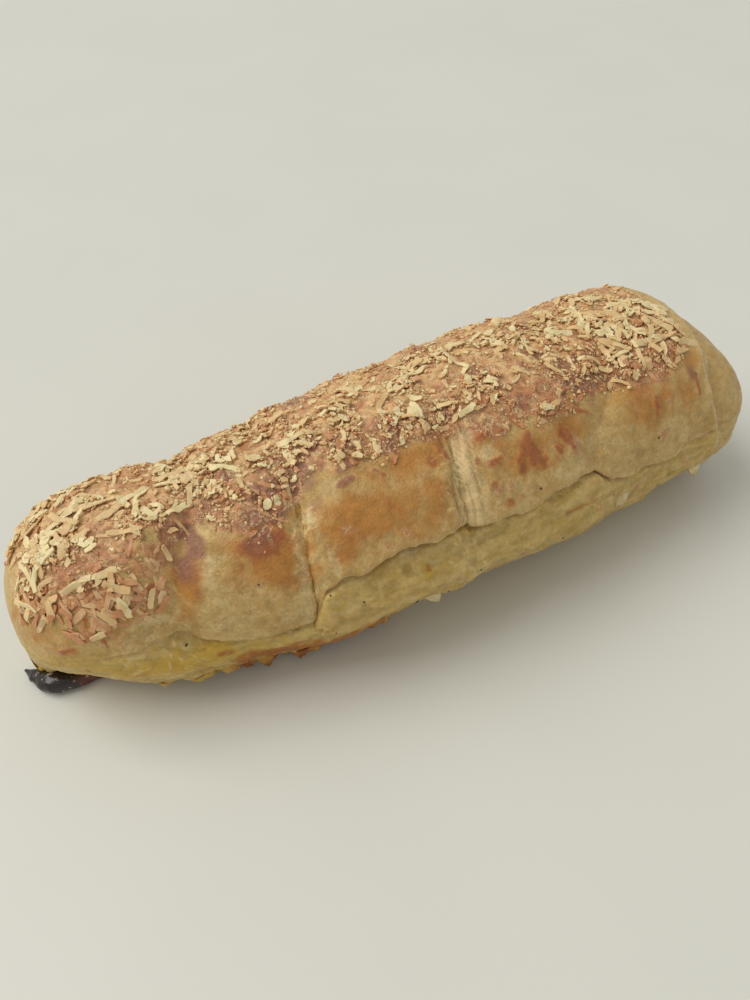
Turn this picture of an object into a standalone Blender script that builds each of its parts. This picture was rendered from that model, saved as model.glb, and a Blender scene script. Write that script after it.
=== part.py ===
"""A cheese straw: a log of rolled puff pastry, scored across the top, with grated cheese baked on.

The log lies along X and rests on its flat base, with the origin at the middle of the base. The side that
faces -Y carries the open seam of the outer sheet. One solid holds the pastry, its larger cheese shreds,
the flakes at its foot and the lump of leaked, burnt cheese at its -X end.
"""

import math
import random

import bmesh
import bpy
import numpy as np
from mathutils import Vector

MM = 0.001

# Driving sizes, in millimetres. Angles run round the log from 0 at the top to +90 at the front side.
HALF_LENGTH = 85.0
CAP_POWER = (5.4, 6.8)
BASE_SINK = 2.0
SECTION_POWER_TOP = 2.15
SECTION_POWER_FOOT = 2.45
CAP_RISE = 0.72
MIDDLE_SHIFT = (1.245, 0.83)
# How full the underside stays towards the -X and the +X tip, from 0 (round) to 1 (flat).
TIP_SAG = (0.74, 0.4)

# Half width, top height and sideways bend of the log at places along it: (x, size).
HALF_WIDTH = [
    (-85, 27.4), (-72, 23.4), (-50, 22.4), (-25, 26.0), (0, 26.8), (25, 26.6), (50, 25.6), (72, 27.5),
    (85, 29.5),
]
TOP_HEIGHT = [
    (-85, 48.8), (-72, 44.4), (-50, 41.9), (-25, 44.2), (0, 46.4), (25, 46.6), (50, 46.4), (72, 48.0),
    (85, 47.7),
]
SIDE_BEND = [
    (-85, 4.6), (-72, 3.9), (-50, 1.4), (-25, -1.2), (0, -1.2), (25, -0.4), (50, 0.9), (72, 0.3),
    (85, -4.4),
]

# Scores across the top: (angle, x) along the crease, then the crease's depth and width, and the valley's.
SCORES = [
    {
        "path": [(-90, -52), (-30, -45), (9, -47), (34, -53), (64, -58), (95, -58)],
        "crease": (0.5, 1.2),
        "valley": (2.2, 5.0),
    },
    {
        "path": [(-90, -34), (-30, -29), (30, -30), (52, -32), (95, -33)],
        "crease": (1.3, 0.9),
        "valley": (1.4, 4.5),
    },
    {
        "path": [(-90, -6), (-30, 4), (24, 3), (45, 1), (75, 0)],
        "crease": (1.5, 1.1),
        "valley": (1.0, 4.0),
    },
    {
        "path": [(-90, 30), (-30, 42), (37, 41), (54, 35), (80, 32)],
        "crease": (0.5, 1.0),
        "valley": (1.2, 4.5),
    },
]
SCORE_FADE_TOP = 0.25
SCORE_FADE_HALF_ANGLE = 30.0
SCORE_BACK_SHARE = 0.35

# The free edge of the outer sheet: its angle, and how far it gapes, along front and back.
FRONT_SEAM = [
    (-85, 84), (-69, 84), (-58, 82), (-54, 88), (-48, 91), (-37, 91), (-33.4, 91), (-30.8, 73),
    (-27, 69.5), (-21, 68), (-15, 65), (-8, 68), (-1.5, 66), (0.8, 70), (8, 72), (15, 74), (22, 71),
    (31, 71), (36, 79), (42, 84), (54, 85), (62, 83), (85, 82),
]
FRONT_GAPE = [
    (-85, 0.0), (-64, 0.0), (-60, 0.2), (-55, 0.6), (-46, 1.1), (-36, 1.1), (-31, 0.7), (-24, 1.2),
    (-14, 1.7), (-3, 1.4), (3, 1.7), (12, 1.4), (20, 1.5), (28, 0.8), (36, 0.6), (48, 1.1), (58, 0.7),
    (68, 0.3), (85, 0.3),
]
BACK_SEAM = [(-85, -92), (-60, -96), (-35, -90), (-30, -98), (0, -94), (30, -101), (60, -95), (85, -92)]
BACK_GAPE = [(-85, 0.3), (-60, 0.7), (-30, 0.5), (0, 1.0), (30, 0.6), (62, 0.7), (85, 0.3)]

# The fold of the seam: steps down the side and out of the surface, in millimetres, at a gape of 1.
SEAM_FOLD = [
    (-3.2, 0.15), (-1.2, 0.5), (-0.2, 0.25), (0.25, -0.6), (-0.9, -1.5), (-0.7, -2.3), (0.7, -2.1),
]
TORN_GAPE = 0.5
UNDER_LAYER_DROP = 1.5
UNDER_LAYER_RETURN = 16.0

# A second ledge in the layers under the seam: its angle, and its height along the log.
LEDGE = [
    (-85, 112), (-45, 104), (-32, 100), (-27, 94), (-20, 93), (-14, 97), (-8, 103), (0, 107), (20, 104),
    (40, 99), (48, 98), (63, 106), (74, 113), (85, 115),
]
LEDGE_HEIGHT = [
    (-85, 0.2), (-50, 0.5), (-30, 0.9), (-12, 1.0), (0, 0.5), (25, 0.7), (44, 1.0), (60, 0.8),
    (76, 0.2), (85, 0.2),
]

# The sheets end short of the +X tip, in two lips over the tucked-in end of the roll:
# (angle, x) along each lip, and its drop in height.
UPPER_LIP = [
    (-100, 58), (-60, 64), (-20, 68), (16, 69.5), (34, 67.6), (47, 66.3), (65, 65.5), (74, 62), (80, 58),
    (100, 54),
]
LOWER_LIP = [
    (-100, 63), (-60, 67), (-20, 70), (16, 71.5), (34, 70), (47, 68.6), (59, 67.6), (70, 68.1), (84, 69),
    (97, 70.3),
]
END_LIPS = [(UPPER_LIP, 0.9), (LOWER_LIP, 1.2)]
END_LIP_WIDTH = 1.0
END_LIP_RETURN = 9.0
END_BULGE = 0.35

LUMP_SIZE = 0.55
LUMP_LENGTH = 13.0

# The crisp foot that spreads where the front edge was fried on the tray, and how far the
# side curves in above it: (x, size).
FOOT_SPREAD = [
    (-85, 0), (-72, 0), (-64, 0.6), (-50, 0.6), (-35, 0.7), (-22, 0.6), (-12, 0.1), (0, 0), (85, 0),
]
FOOT_HEIGHT = 2.2
FOOT_TUCK = [
    (-85, 2.0), (-82, 5.0), (-78, 7.8), (-74, 7.8), (-70, 5.8), (-65, 3.8), (-60, 2.9), (-51, 4.0),
    (-44, 2.2), (-32, 2.2), (-22, 4.4), (-12, 4.6), (-4, 5.6), (8, 5.2), (16, 4.8), (24, 4.0),
    (34, 2.2), (46, 0.4), (53, 2.2), (60, 2.4), (70, 4.4), (77, 1.0), (85, -0.4),
]
TUCK_HEIGHT = [
    (-85, 22.0), (-74, 20.0), (-64, 12.0), (-44, 11.0), (-30, 12.0), (-15, 19.0), (14, 19.0),
    (32, 12.0), (56, 11.0), (68, 18.0), (85, 14.0),
]

ROWS = 82
COLUMNS_BACK_FOOT = 6
COLUMNS_OUTER = 21
COLUMNS_FRONT_FOOT = 10
SMALLEST_RING = 0.13

# Grated cheese: the angles between which it lies at places along the log, and its sizes.
CHEESE_FRONT = [
    (-82, 30), (-79, 36), (-74, 42), (-67, 48), (-62, 43), (-57, 36), (-50, 28), (-45, 31), (-41, 44),
    (-37, 48), (-33, 37), (-28, 25), (-18, 26), (-12, 30), (-5, 28), (2, 27), (6, 36), (12, 35),
    (20, 40), (26, 43), (35, 40), (45, 42), (54, 42), (61, 41), (68, 28),
]
CHEESE_BACK = [(-82, -35), (-60, -48), (-40, -38), (-20, -46), (0, -40), (20, -50), (45, -42), (68, -34)]
CHEESE_X = (-81.5, 66.0)
CHEESE_HEAPS = [
    (-76, 6, 9, 26), (-60, -6, 12, 18), (-44, -8, 10, 16), (-27, 2, 9, 14), (-4, -12, 12, 16),
    (22, -10, 12, 16), (55, 8, 11, 24),
]
CHEESE_BED = 0.45
SHRED_SEED = 7
SHRED_COUNT = 110
SHRED_LENGTH = (8.5, 3.6)
SHRED_WIDTH = 1.5
SHRED_THICKNESS = 1.0
SHRED_LIFT = 0.4
SHRED_STEPS = 3
SHRED_SPACING = 2.1

# Leaked and burnt cheese under the -X end, and loose flakes on the front foot.
BURNT_PATH = [(-87.2, 6.9), (-85.3, 3.6), (-82.8, 0.5), (-79.0, -0.5), (-75.5, -1.1), (-72.6, -2.4)]
BURNT_RADIUS = [0.35, 1.6, 2.1, 2.0, 1.6, 0.8]
BURNT_SIDES = 8
FLAKES = [(-7.5, 110.0, 4.6, 3.0, 25.0), (43.5, 102.0, 6.5, 3.2, -12.0), (66.0, 108.0, 4.5, 3.0, 8.0)]
FLAKE_THICKNESS = 0.7

PASTRY_TRIANGLES = 5000
BASE_LEVELLING = 0.05

PASTRY_COLOUR = (0.62, 0.38, 0.15, 1.0)
PASTRY_ROUGHNESS = 0.6


def curve(x, knots):
    """A smooth curve through knots, as a cubic with the slopes of its neighbours, level past both ends."""
    xs, ys = np.array(knots, float).T
    slopes = np.gradient(ys, xs)
    x = np.clip(x, xs[0], xs[-1])
    i = np.clip(np.searchsorted(xs, x, side="right") - 1, 0, len(xs) - 2)
    step = xs[i + 1] - xs[i]
    t = (x - xs[i]) / step
    return (
        ys[i] * (1 + 2 * t) * (1 - t) ** 2
        + slopes[i] * step * t * (1 - t) ** 2
        + ys[i + 1] * t * t * (3 - 2 * t)
        + slopes[i + 1] * step * t * t * (t - 1)
    )


def line(x, knots):
    """Straight lines between knots."""
    xs, ys = np.array(knots, float).T
    return np.interp(x, xs, ys)


def ease(t):
    t = np.clip(t, 0, 1)
    return t * t * (3 - 2 * t)


LATTICE = np.random.RandomState(11).uniform(-1, 1, (32, 32, 32))


def noise(points, size, seed=0):
    """Smooth noise from -1 to 1 at points in millimetres, with bumps about size apart."""
    q = points / size + seed * 7.31
    cell = np.floor(q).astype(int)
    f = q - cell
    f = f * f * (3 - 2 * f)
    total = 0
    for dx in (0, 1):
        for dy in (0, 1):
            for dz in (0, 1):
                weight = np.abs(1 - dx - f[..., 0]) * np.abs(1 - dy - f[..., 1])
                weight = weight * np.abs(1 - dz - f[..., 2])
                corner = (cell + (dx, dy, dz)) % 32
                total = total + weight * LATTICE[corner[..., 0], corner[..., 1], corner[..., 2]]
    return total


def closing(x):
    """How much of its full section the log has at x: 1 along the middle, 0 at the tips."""
    power = np.where(x < 0, CAP_POWER[0], CAP_POWER[1])
    return np.sqrt(np.clip(1 - np.abs(x / HALF_LENGTH) ** power, 0, 1))


def smooth_log(x, angle):
    """The plain log without any relief, in millimetres. The angle is in degrees."""
    wide, top, bend, k = curve(x, HALF_WIDTH), curve(x, TOP_HEIGHT), curve(x, SIDE_BEND), closing(x)
    half_height = (top + BASE_SINK) / 2
    middle = half_height - BASE_SINK
    c, s = np.cos(np.radians(angle)), np.sin(np.radians(angle))
    power = SECTION_POWER_TOP + (SECTION_POWER_FOOT - SECTION_POWER_TOP) * ease(0.5 - c)
    radius = (np.abs(s / wide) ** power + np.abs(c / half_height) ** power) ** (-1 / power)
    sag = k ** (1 - np.where(x < 0, *TIP_SAG) * ease(-1.3 * c))
    height = middle * (CAP_RISE + (1 - CAP_RISE) * k) + radius * c * sag
    return np.stack([x + 0 * angle, bend - radius * s * k, height], -1)


def normals(x, angle):
    """Outward unit normals of the plain log."""
    dx, da = 0.05, 0.2
    x0, x1 = np.clip(x - dx, -HALF_LENGTH, HALF_LENGTH), np.clip(x + dx, -HALF_LENGTH, HALF_LENGTH)
    along = smooth_log(x1, angle) - smooth_log(x0, angle)
    around = smooth_log(x, angle + da) - smooth_log(x, angle - da)
    n = np.cross(around, along)
    return n / np.maximum(np.linalg.norm(n, axis=-1, keepdims=True), 1e-9)


def score_depth(x, angle):
    """How deep the scores cut at this place."""
    beside = np.where(angle > 0, 1, SCORE_BACK_SHARE) * ease(np.abs(angle) / SCORE_FADE_HALF_ANGLE)
    share = SCORE_FADE_TOP + (1 - SCORE_FADE_TOP) * beside
    total = 0
    for score in SCORES:
        d = np.abs(x - curve(angle, score["path"]))
        crease, crease_width = score["crease"]
        valley, valley_width = score["valley"]
        cut = crease * np.exp(-d / crease_width) + valley * np.exp(-((d / valley_width) ** 2))
        total = total + share * cut
    return total * (1 - ease((np.abs(angle) - 88) / 20))


def outer_relief(x, angle):
    """Height of the outer sheet over the plain log: scores, the end lip and soft lumps."""
    p = smooth_log(x, angle)
    lumps = LUMP_SIZE * noise(p, LUMP_LENGTH, 1) + 0.25 * LUMP_SIZE * noise(p, LUMP_LENGTH / 3, 2)
    bed = CHEESE_BED * cheese_room(x, angle) * (1 + 0.7 * noise(p, 3.2, 8))
    return lumps + bed - score_depth(x, angle) - end_drop(x, angle, p)


def cheese_room(x, angle):
    """How far inside the cheese's patch a place lies: 1 in the middle, 0 at its edge."""
    front, back = line(x, CHEESE_FRONT), line(x, CHEESE_BACK)
    across = np.minimum(front - angle, angle - back) / 12
    ends = np.minimum(x - CHEESE_X[0], CHEESE_X[1] - x) / 4
    return np.clip(np.minimum(across, ends), 0, 1)


def cheese_heap(x, angle):
    """How thickly the cheese lies at a place, from 0.45 between the heaps to 1 on them."""
    most = 0
    for heap_x, heap_angle, along, around in CHEESE_HEAPS:
        apart = ((x - heap_x) / along) ** 2 + ((angle - heap_angle) / around) ** 2
        most = np.maximum(most, np.exp(-apart))
    return 0.45 + 0.55 * most


def end_drop(x, angle, p):
    """How far the skin sinks past the lips at the +X end, before the inner roll bulges out again."""
    total = 0
    for path, drop in END_LIPS:
        past = x - curve(angle, path) - 0.6 * noise(p, 5.0, 3)
        back = (1 + END_BULGE) * np.exp(-((np.maximum(past, 0) / END_LIP_RETURN) ** 2)) - END_BULGE
        rim = 0.3 * np.exp(-(((past + 1.1) / 1.1) ** 2))
        total = total + drop * (ease(past / END_LIP_WIDTH) * back - rim)
    return total


def outer_point(x, angle, lift=0.0):
    """A point of the outer sheet, raised by lift along the normal."""
    h = (outer_relief(x, angle) + lift) * closing(x) ** 0.5
    return smooth_log(x, angle) + normals(x, angle) * h[..., None]


def row_places():
    """Places of the rows along X, evenly spaced over the skin and closer at the scores and the lip."""
    fine = -HALF_LENGTH * np.cos(np.linspace(0, math.pi, 4001))
    profile = smooth_log(fine, np.zeros_like(fine))
    step = np.linalg.norm(np.diff(profile, axis=0), axis=1)
    middle = (fine[1:] + fine[:-1]) / 2
    weight = 1.0
    for place, more, reach in ((-32, 1.8, 2.6), (1, 1.8, 2.6), (67, 1.0, 2.5)):
        weight = weight + more * np.exp(-(((middle - place) / reach) ** 2))
    travelled = np.concatenate([[0], np.cumsum(step * weight)])
    k = closing(fine)
    first = travelled[np.argmax(k > SMALLEST_RING)]
    last = travelled[len(k) - 1 - np.argmax(k[::-1] > SMALLEST_RING)]
    return np.interp(np.linspace(first, last, ROWS), travelled, fine)


def fold_columns(x, seam, gape, side):
    """Angles and heights of the columns that fold under the free edge, in front (side 1) or behind (-1)."""
    k = closing(x)
    torn = ease(gape / TORN_GAPE)
    gape = gape * k
    radius = 24.0 * np.maximum(k, 0.35)
    level = np.linspace(SEAM_FOLD[0][0], SEAM_FOLD[-1][0], len(SEAM_FOLD))
    steps = []
    for (down, out), flat in zip(SEAM_FOLD, level):
        reach = (torn * down + (1 - torn) * flat) * (0.45 + 0.55 * gape) * np.maximum(k, 0.35)
        steps.append((seam + side * np.degrees(reach / radius), out * gape))
    return steps


def under_height(x, angle, seam, gape, side):
    """Height of the layer under the free edge, which starts sunk and comes back out lower down.

    Where the edge doesn't gape, it is the height of the outer sheet itself.
    """
    away = side * (angle - seam)
    drop = UNDER_LAYER_DROP * gape * closing(x) * np.exp(-((away / UNDER_LAYER_RETURN) ** 2))
    p = smooth_log(x, angle)
    above = curve(x, LEDGE) + 4 * noise(p, 7.0, 9) - side * angle
    ledge = curve(x, LEDGE_HEIGHT) * (ease(above / 4 + 0.5) - 0.5 - 0.5 * ease((above - 4) / 30))
    torn = ease(gape / TORN_GAPE)
    layer = 0.4 * noise(p, 9.0, 4) + 0.25 * noise(p, 3.5, 5) + ledge - drop - end_drop(x, side * angle, p)
    return torn * layer + (1 - torn) * outer_relief(x, angle)


def pastry_rings():
    """The pastry's skin as a grid of points: rows along X, columns once round the section."""
    x = row_places()
    front, back = line(x, FRONT_SEAM), line(x, BACK_SEAM)
    front = front + 1.6 * noise(np.stack([x, x * 0, x * 0], -1), 3.0, 6)
    front_gape, back_gape = curve(x, FRONT_GAPE), curve(x, BACK_GAPE)
    columns = []
    for t in np.linspace(0, 1, COLUMNS_BACK_FOOT, endpoint=False):
        angle = -180 + (back - 4 + 180) * t
        columns.append((angle, under_height(x, angle, back, back_gape, -1)))
    for angle, height in reversed(fold_columns(x, back, back_gape, -1)):
        columns.append((angle, height + outer_relief(x, np.maximum(angle, back))))
    for t in (np.arange(COLUMNS_OUTER) + 0.5) / COLUMNS_OUTER:
        t = t + 0.06 * math.sin(2 * math.pi * t)
        angle = back + 9 + (front - 9 - back - 9) * t
        columns.append((angle, outer_relief(x, angle)))
    for angle, height in fold_columns(x, front, front_gape, 1):
        columns.append((angle, height + outer_relief(x, np.minimum(angle, front))))
    for t in ((np.arange(COLUMNS_FRONT_FOOT) + 0.35) / COLUMNS_FRONT_FOOT) ** 1.5:
        angle = front + 4 + (180 - front - 4) * t
        columns.append((angle, under_height(x, angle, front, front_gape, 1)))
    grid = np.zeros((len(x), len(columns), 3))
    for j, (angle, height) in enumerate(columns):
        point = smooth_log(x, angle) + normals(x, angle) * (height * closing(x) ** 0.5)[:, None]
        low = ease(1.3 - point[:, 2] / FOOT_HEIGHT / 1.6) * (angle > 90) * (angle < 150)
        point[:, 1] -= low * curve(x, FOOT_SPREAD) * (1 + 1.5 * noise(point, 3.0, 10))
        beside = ease(2 * np.sin(np.radians(angle))) * (angle > 90)
        point[:, 1] += beside * ease(1 - point[:, 2] / curve(x, TUCK_HEIGHT)) * curve(x, FOOT_TUCK)
        grid[:, j] = point
    grid[..., 2] = np.maximum(grid[..., 2], 0)
    return grid


def add_mesh(name, points, faces):
    """A mesh object of these points, in millimetres."""
    mesh = bpy.data.meshes.new(name)
    mesh.from_pydata([tuple(p) for p in np.asarray(points) * MM], [], faces)
    made = bmesh.new()
    made.from_mesh(mesh)
    bmesh.ops.recalc_face_normals(made, faces=made.faces)
    if made.calc_volume(signed=True) < 0:
        bmesh.ops.reverse_faces(made, faces=made.faces)
    made.to_mesh(mesh)
    made.free()
    obj = bpy.data.objects.new(name, mesh)
    bpy.context.scene.collection.objects.link(obj)
    return obj


def tube(name, rings):
    """A closed skin over rings of points, with a fan of faces on the first and the last ring."""
    rows, columns = len(rings), len(rings[0])
    points = [p for ring in rings for p in ring]
    faces = []
    for i in range(rows - 1):
        for j in range(columns):
            k = (j + 1) % columns
            faces.append((i * columns + j, i * columns + k, (i + 1) * columns + k, (i + 1) * columns + j))
    for ring in (0, rows - 1):
        hub = len(points)
        points.append(np.mean(rings[ring], axis=0))
        for j in range(columns):
            faces.append((ring * columns + j, ring * columns + (j + 1) % columns, hub))
    return add_mesh(name, points, faces)


def shred_paths():
    """Centre lines of the shreds, longest first, spread over the patch by a seeded draw."""
    draw = random.Random(SHRED_SEED)
    centres, paths = [], []
    while len(paths) < SHRED_COUNT:
        share = len(paths) / SHRED_COUNT
        x, angle = draw.uniform(*CHEESE_X), draw.uniform(-52, 50)
        room = float(cheese_room(x, angle) ** 0.6 * cheese_heap(x, angle))
        heading, bend = draw.uniform(0, math.pi), draw.gauss(0, 0.6)
        radius = 24.0 * float(closing(np.array(x)))
        flat = np.array([x, math.radians(angle) * radius])
        apart = SHRED_SPACING * (1.6 - 0.6 * share)
        if room < draw.random() or any(np.hypot(*(flat - c)) < apart for c in centres):
            continue
        centres.append(flat)
        longest, shortest = SHRED_LENGTH
        length = (longest + (shortest - longest) * share**0.6) * draw.uniform(0.85, 1.1)
        path = []
        for i in range(SHRED_STEPS + 1):
            t = i / SHRED_STEPS - 0.5
            turn = heading + bend * t
            px = x + length * t * math.cos(turn)
            pa = angle + math.degrees(length * t * math.sin(turn) / radius)
            path.append((px, pa))
        paths.append(path)
    return paths


def shred(name, path):
    """One shred: a strip of rectangular section that follows the skin, half sunk in it."""
    x, angle = np.array(path).T
    x = np.clip(x, -HALF_LENGTH + 1.5, HALF_LENGTH - 1.5)
    middle = outer_point(x, angle, SHRED_LIFT)
    up = normals(x, angle)
    along = np.gradient(middle, axis=0)
    side = np.cross(along, up)
    side /= np.linalg.norm(side, axis=1, keepdims=True)
    half_width = SHRED_WIDTH / 2 * np.sin(np.linspace(0.75, math.pi - 0.75, len(x)))[:, None]
    rings = []
    for a, b in ((-1, -1), (1, -1), (0.8, 0.55), (-0.8, 0.55)):
        rings.append(middle + a * half_width * side + b * SHRED_THICKNESS * 0.62 * up)
    return tube(name, np.stack(rings, 1))


def burnt_lump(name):
    """A flattened, tapering lump of burnt cheese on the surface that the straw lies on."""
    path = np.array(BURNT_PATH)
    along = np.gradient(path, axis=0)
    along /= np.linalg.norm(along, axis=1, keepdims=True)
    rings = []
    for (px, py), (dx, dy), r in zip(path, along, BURNT_RADIUS):
        ring = []
        for k in range(BURNT_SIDES):
            turn = 2 * math.pi * (k + 0.5) / BURNT_SIDES
            out, height = 1.35 * r * math.cos(turn), r * 0.95 + r * math.sin(turn)
            ring.append((px - dy * out, py + dx * out, max(height - 0.12 * r, 0)))
        rings.append(ring)
    return tube(name, np.array(rings))


def flake(name, x, angle, length, width, tilt):
    """A thin pointed flake of pastry that stands off the skin."""
    at, out = np.array(x), np.array(angle)
    root = smooth_log(at, out)
    up = normals(at, out)
    along = np.array([math.cos(math.radians(tilt)), -0.3, math.sin(math.radians(tilt))])
    side = np.cross(up, along)
    side /= np.linalg.norm(side)
    outline = [(-0.5, -0.3), (0.1, -0.5), (0.55, -0.15), (0.5, 0.2), (0.0, 0.5), (-0.5, 0.35)]
    rings = []
    for lift in (-1.2, FLAKE_THICKNESS):
        shrink = 1.0 if lift < 0 else 0.8
        rim = [root + shrink * (a * length * along + b * width * side) for a, b in outline]
        rings.append([corner + lift * up for corner in rim])
    rings = np.array(rings)
    rings[..., 2] = np.maximum(rings[..., 2], 0.3)
    return tube(name, rings)


def join(target, pieces):
    """One Boolean union of the target with the pieces, which are then removed."""
    group = bpy.data.collections.new("fused")
    bpy.context.scene.collection.children.link(group)
    for piece in pieces:
        bpy.context.scene.collection.objects.unlink(piece)
        group.objects.link(piece)
    union = target.modifiers.new("fuse", "BOOLEAN")
    union.operation = "UNION"
    union.solver = "MANIFOLD"
    union.operand_type = "COLLECTION"
    union.collection = group
    bpy.context.view_layer.update()
    graph = bpy.context.evaluated_depsgraph_get()
    joined = bpy.data.meshes.new_from_object(target.evaluated_get(graph))
    target.modifiers.clear()
    target.data = joined
    for piece in pieces:
        bpy.data.objects.remove(piece)
    bpy.data.collections.remove(group)


def thin_out(obj):
    """Collapses the plain skin's least telling edges to its triangle budget, and levels the base."""
    fewer = obj.modifiers.new("fewer", "DECIMATE")
    fewer.ratio = PASTRY_TRIANGLES / sum(len(face.vertices) - 2 for face in obj.data.polygons)
    graph = bpy.context.evaluated_depsgraph_get()
    thinned = bpy.data.meshes.new_from_object(obj.evaluated_get(graph))
    obj.modifiers.clear()
    obj.data = thinned
    for vertex in obj.data.vertices:
        if vertex.co.z < BASE_LEVELLING * MM:
            vertex.co.z = 0


def keep_outer_skin(obj):
    """Drops what fusing may seal in or cut off: only the largest closed skin is left, as triangles."""
    made = bmesh.new()
    made.from_mesh(obj.data)
    bmesh.ops.triangulate(made, faces=made.faces)
    left, shells = set(made.faces), []
    while left:
        stack, shell = [left.pop()], []
        while stack:
            face = stack.pop()
            shell.append(face)
            for edge in face.edges:
                for other in edge.link_faces:
                    if other in left:
                        left.remove(other)
                        stack.append(other)
        shells.append(shell)
    shells.sort(key=len)
    for shell in shells[:-1]:
        bmesh.ops.delete(made, geom=shell, context="FACES")
    made.to_mesh(obj.data)
    made.free()


def crust_material():
    material = bpy.data.materials.new("baked_pastry")
    material.use_nodes = True
    shader = material.node_tree.nodes["Principled BSDF"]
    shader.inputs["Base Color"].default_value = PASTRY_COLOUR
    shader.inputs["Roughness"].default_value = PASTRY_ROUGHNESS
    shader.inputs["Metallic"].default_value = 0.0
    return material


def main():
    for obj in list(bpy.data.objects):
        bpy.data.objects.remove(obj)
    straw = tube("cheese_straw", pastry_rings())
    thin_out(straw)
    pieces = [shred(f"shred_{i}", path) for i, path in enumerate(shred_paths())]
    pieces.append(burnt_lump("burnt_lump"))
    pieces += [flake(f"flake_{i}", *sizes) for i, sizes in enumerate(FLAKES)]
    join(straw, pieces)
    keep_outer_skin(straw)
    for vertex in straw.data.vertices:
        vertex.co += Vector((*MIDDLE_SHIFT, 0)) * MM
    straw.data.materials.clear()
    straw.data.materials.append(crust_material())
    straw.data.shade_smooth()
    straw.data.set_sharp_from_angle(angle=math.radians(40))


main()
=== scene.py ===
"""The looks of a cheese straw: rolled puff pastry, grated cheese baked on, and a burnt lump at one end."""

import math
import random

import bmesh
import bpy
import numpy as np
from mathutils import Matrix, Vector


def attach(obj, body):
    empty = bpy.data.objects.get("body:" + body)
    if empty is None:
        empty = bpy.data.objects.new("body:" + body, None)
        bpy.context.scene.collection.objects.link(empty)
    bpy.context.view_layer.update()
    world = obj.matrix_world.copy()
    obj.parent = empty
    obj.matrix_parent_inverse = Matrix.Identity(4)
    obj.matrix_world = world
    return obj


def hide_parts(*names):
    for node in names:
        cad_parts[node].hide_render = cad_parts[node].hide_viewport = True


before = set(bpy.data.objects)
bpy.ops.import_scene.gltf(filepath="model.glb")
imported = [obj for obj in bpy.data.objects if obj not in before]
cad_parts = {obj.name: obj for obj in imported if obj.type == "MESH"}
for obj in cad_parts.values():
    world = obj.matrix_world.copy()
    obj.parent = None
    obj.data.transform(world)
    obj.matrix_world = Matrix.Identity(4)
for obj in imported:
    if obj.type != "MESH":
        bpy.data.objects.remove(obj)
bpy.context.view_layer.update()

MM = 0.001

# The log's own sizes, in millimetres. Angles run round it from 0 at the top to +90 at the front (-Y) side.
HALF_LENGTH = 85.0
CAP_POWER = (5.4, 6.8)
BASE_SINK = 2.0
SECTION_POWER_TOP = 2.15
SECTION_POWER_FOOT = 2.45
CAP_RISE = 0.72
MIDDLE_SHIFT = (1.245, 0.83)
TIP_SAG = (0.74, 0.4)
HALF_WIDTH = [
    (-85, 27.4), (-72, 23.4), (-50, 22.4), (-25, 26.0), (0, 26.8), (25, 26.6), (50, 25.6), (72, 27.5),
    (85, 29.5),
]
TOP_HEIGHT = [
    (-85, 48.8), (-72, 44.4), (-50, 41.9), (-25, 44.2), (0, 46.4), (25, 46.6), (50, 46.4), (72, 48.0),
    (85, 47.7),
]
SIDE_BEND = [
    (-85, 4.6), (-72, 3.9), (-50, 1.4), (-25, -1.2), (0, -1.2), (25, -0.4), (50, 0.9), (72, 0.3),
    (85, -4.4),
]
SCORES = [
    {"path": [(-90, -52), (-30, -45), (9, -47), (34, -53), (64, -58), (95, -58)], "crease": (0.5, 1.2),
     "valley": (2.2, 5.0)},
    {"path": [(-90, -34), (-30, -29), (30, -30), (52, -32), (95, -33)], "crease": (1.3, 0.9),
     "valley": (1.4, 4.5)},
    {"path": [(-90, -6), (-30, 4), (24, 3), (45, 1), (75, 0)], "crease": (1.5, 1.1), "valley": (1.0, 4.0)},
    {"path": [(-90, 30), (-30, 42), (37, 41), (54, 35), (80, 32)], "crease": (0.5, 1.0),
     "valley": (1.2, 4.5)},
]
SCORE_FADE_TOP = 0.25
SCORE_FADE_HALF_ANGLE = 30.0
SCORE_BACK_SHARE = 0.35
FRONT_SEAM = [
    (-85, 84), (-69, 84), (-58, 82), (-54, 88), (-48, 91), (-37, 91), (-33.4, 91), (-30.8, 73),
    (-27, 69.5), (-21, 68), (-15, 65), (-8, 68), (-1.5, 66), (0.8, 70), (8, 72), (15, 74), (22, 71),
    (31, 71), (36, 79), (42, 84), (54, 85), (62, 83), (85, 82),
]
FRONT_GAPE = [
    (-85, 0.0), (-64, 0.0), (-60, 0.2), (-55, 0.6), (-46, 1.1), (-36, 1.1), (-31, 0.7), (-24, 1.2),
    (-14, 1.7), (-3, 1.4), (3, 1.7), (12, 1.4), (20, 1.5), (28, 0.8), (36, 0.6), (48, 1.1), (58, 0.7),
    (68, 0.3), (85, 0.3),
]
BACK_SEAM = [(-85, -92), (-60, -96), (-35, -90), (-30, -98), (0, -94), (30, -101), (60, -95), (85, -92)]
BACK_GAPE = [(-85, 0.3), (-60, 0.7), (-30, 0.5), (0, 1.0), (30, 0.6), (62, 0.7), (85, 0.3)]
SEAM_FOLD = [
    (-2.3, 0.06), (-1.0, 0.24), (-0.25, 0.16), (0.2, -0.6), (-0.9, -1.5), (-0.7, -2.3), (0.7, -2.1),
]
TORN_GAPE = 0.5
UNDER_LAYER_DROP = 1.5
UNDER_LAYER_RETURN = 16.0
LEDGE = [
    (-85, 112), (-45, 104), (-32, 100), (-27, 94), (-20, 93), (-14, 97), (-8, 103), (0, 107), (20, 104),
    (40, 99), (48, 98), (63, 106), (74, 113), (85, 115),
]
LEDGE_HEIGHT = [
    (-85, 0.2), (-50, 0.5), (-30, 0.9), (-12, 1.0), (0, 0.5), (25, 0.7), (44, 1.0), (60, 0.8),
    (76, 0.2), (85, 0.2),
]
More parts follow.
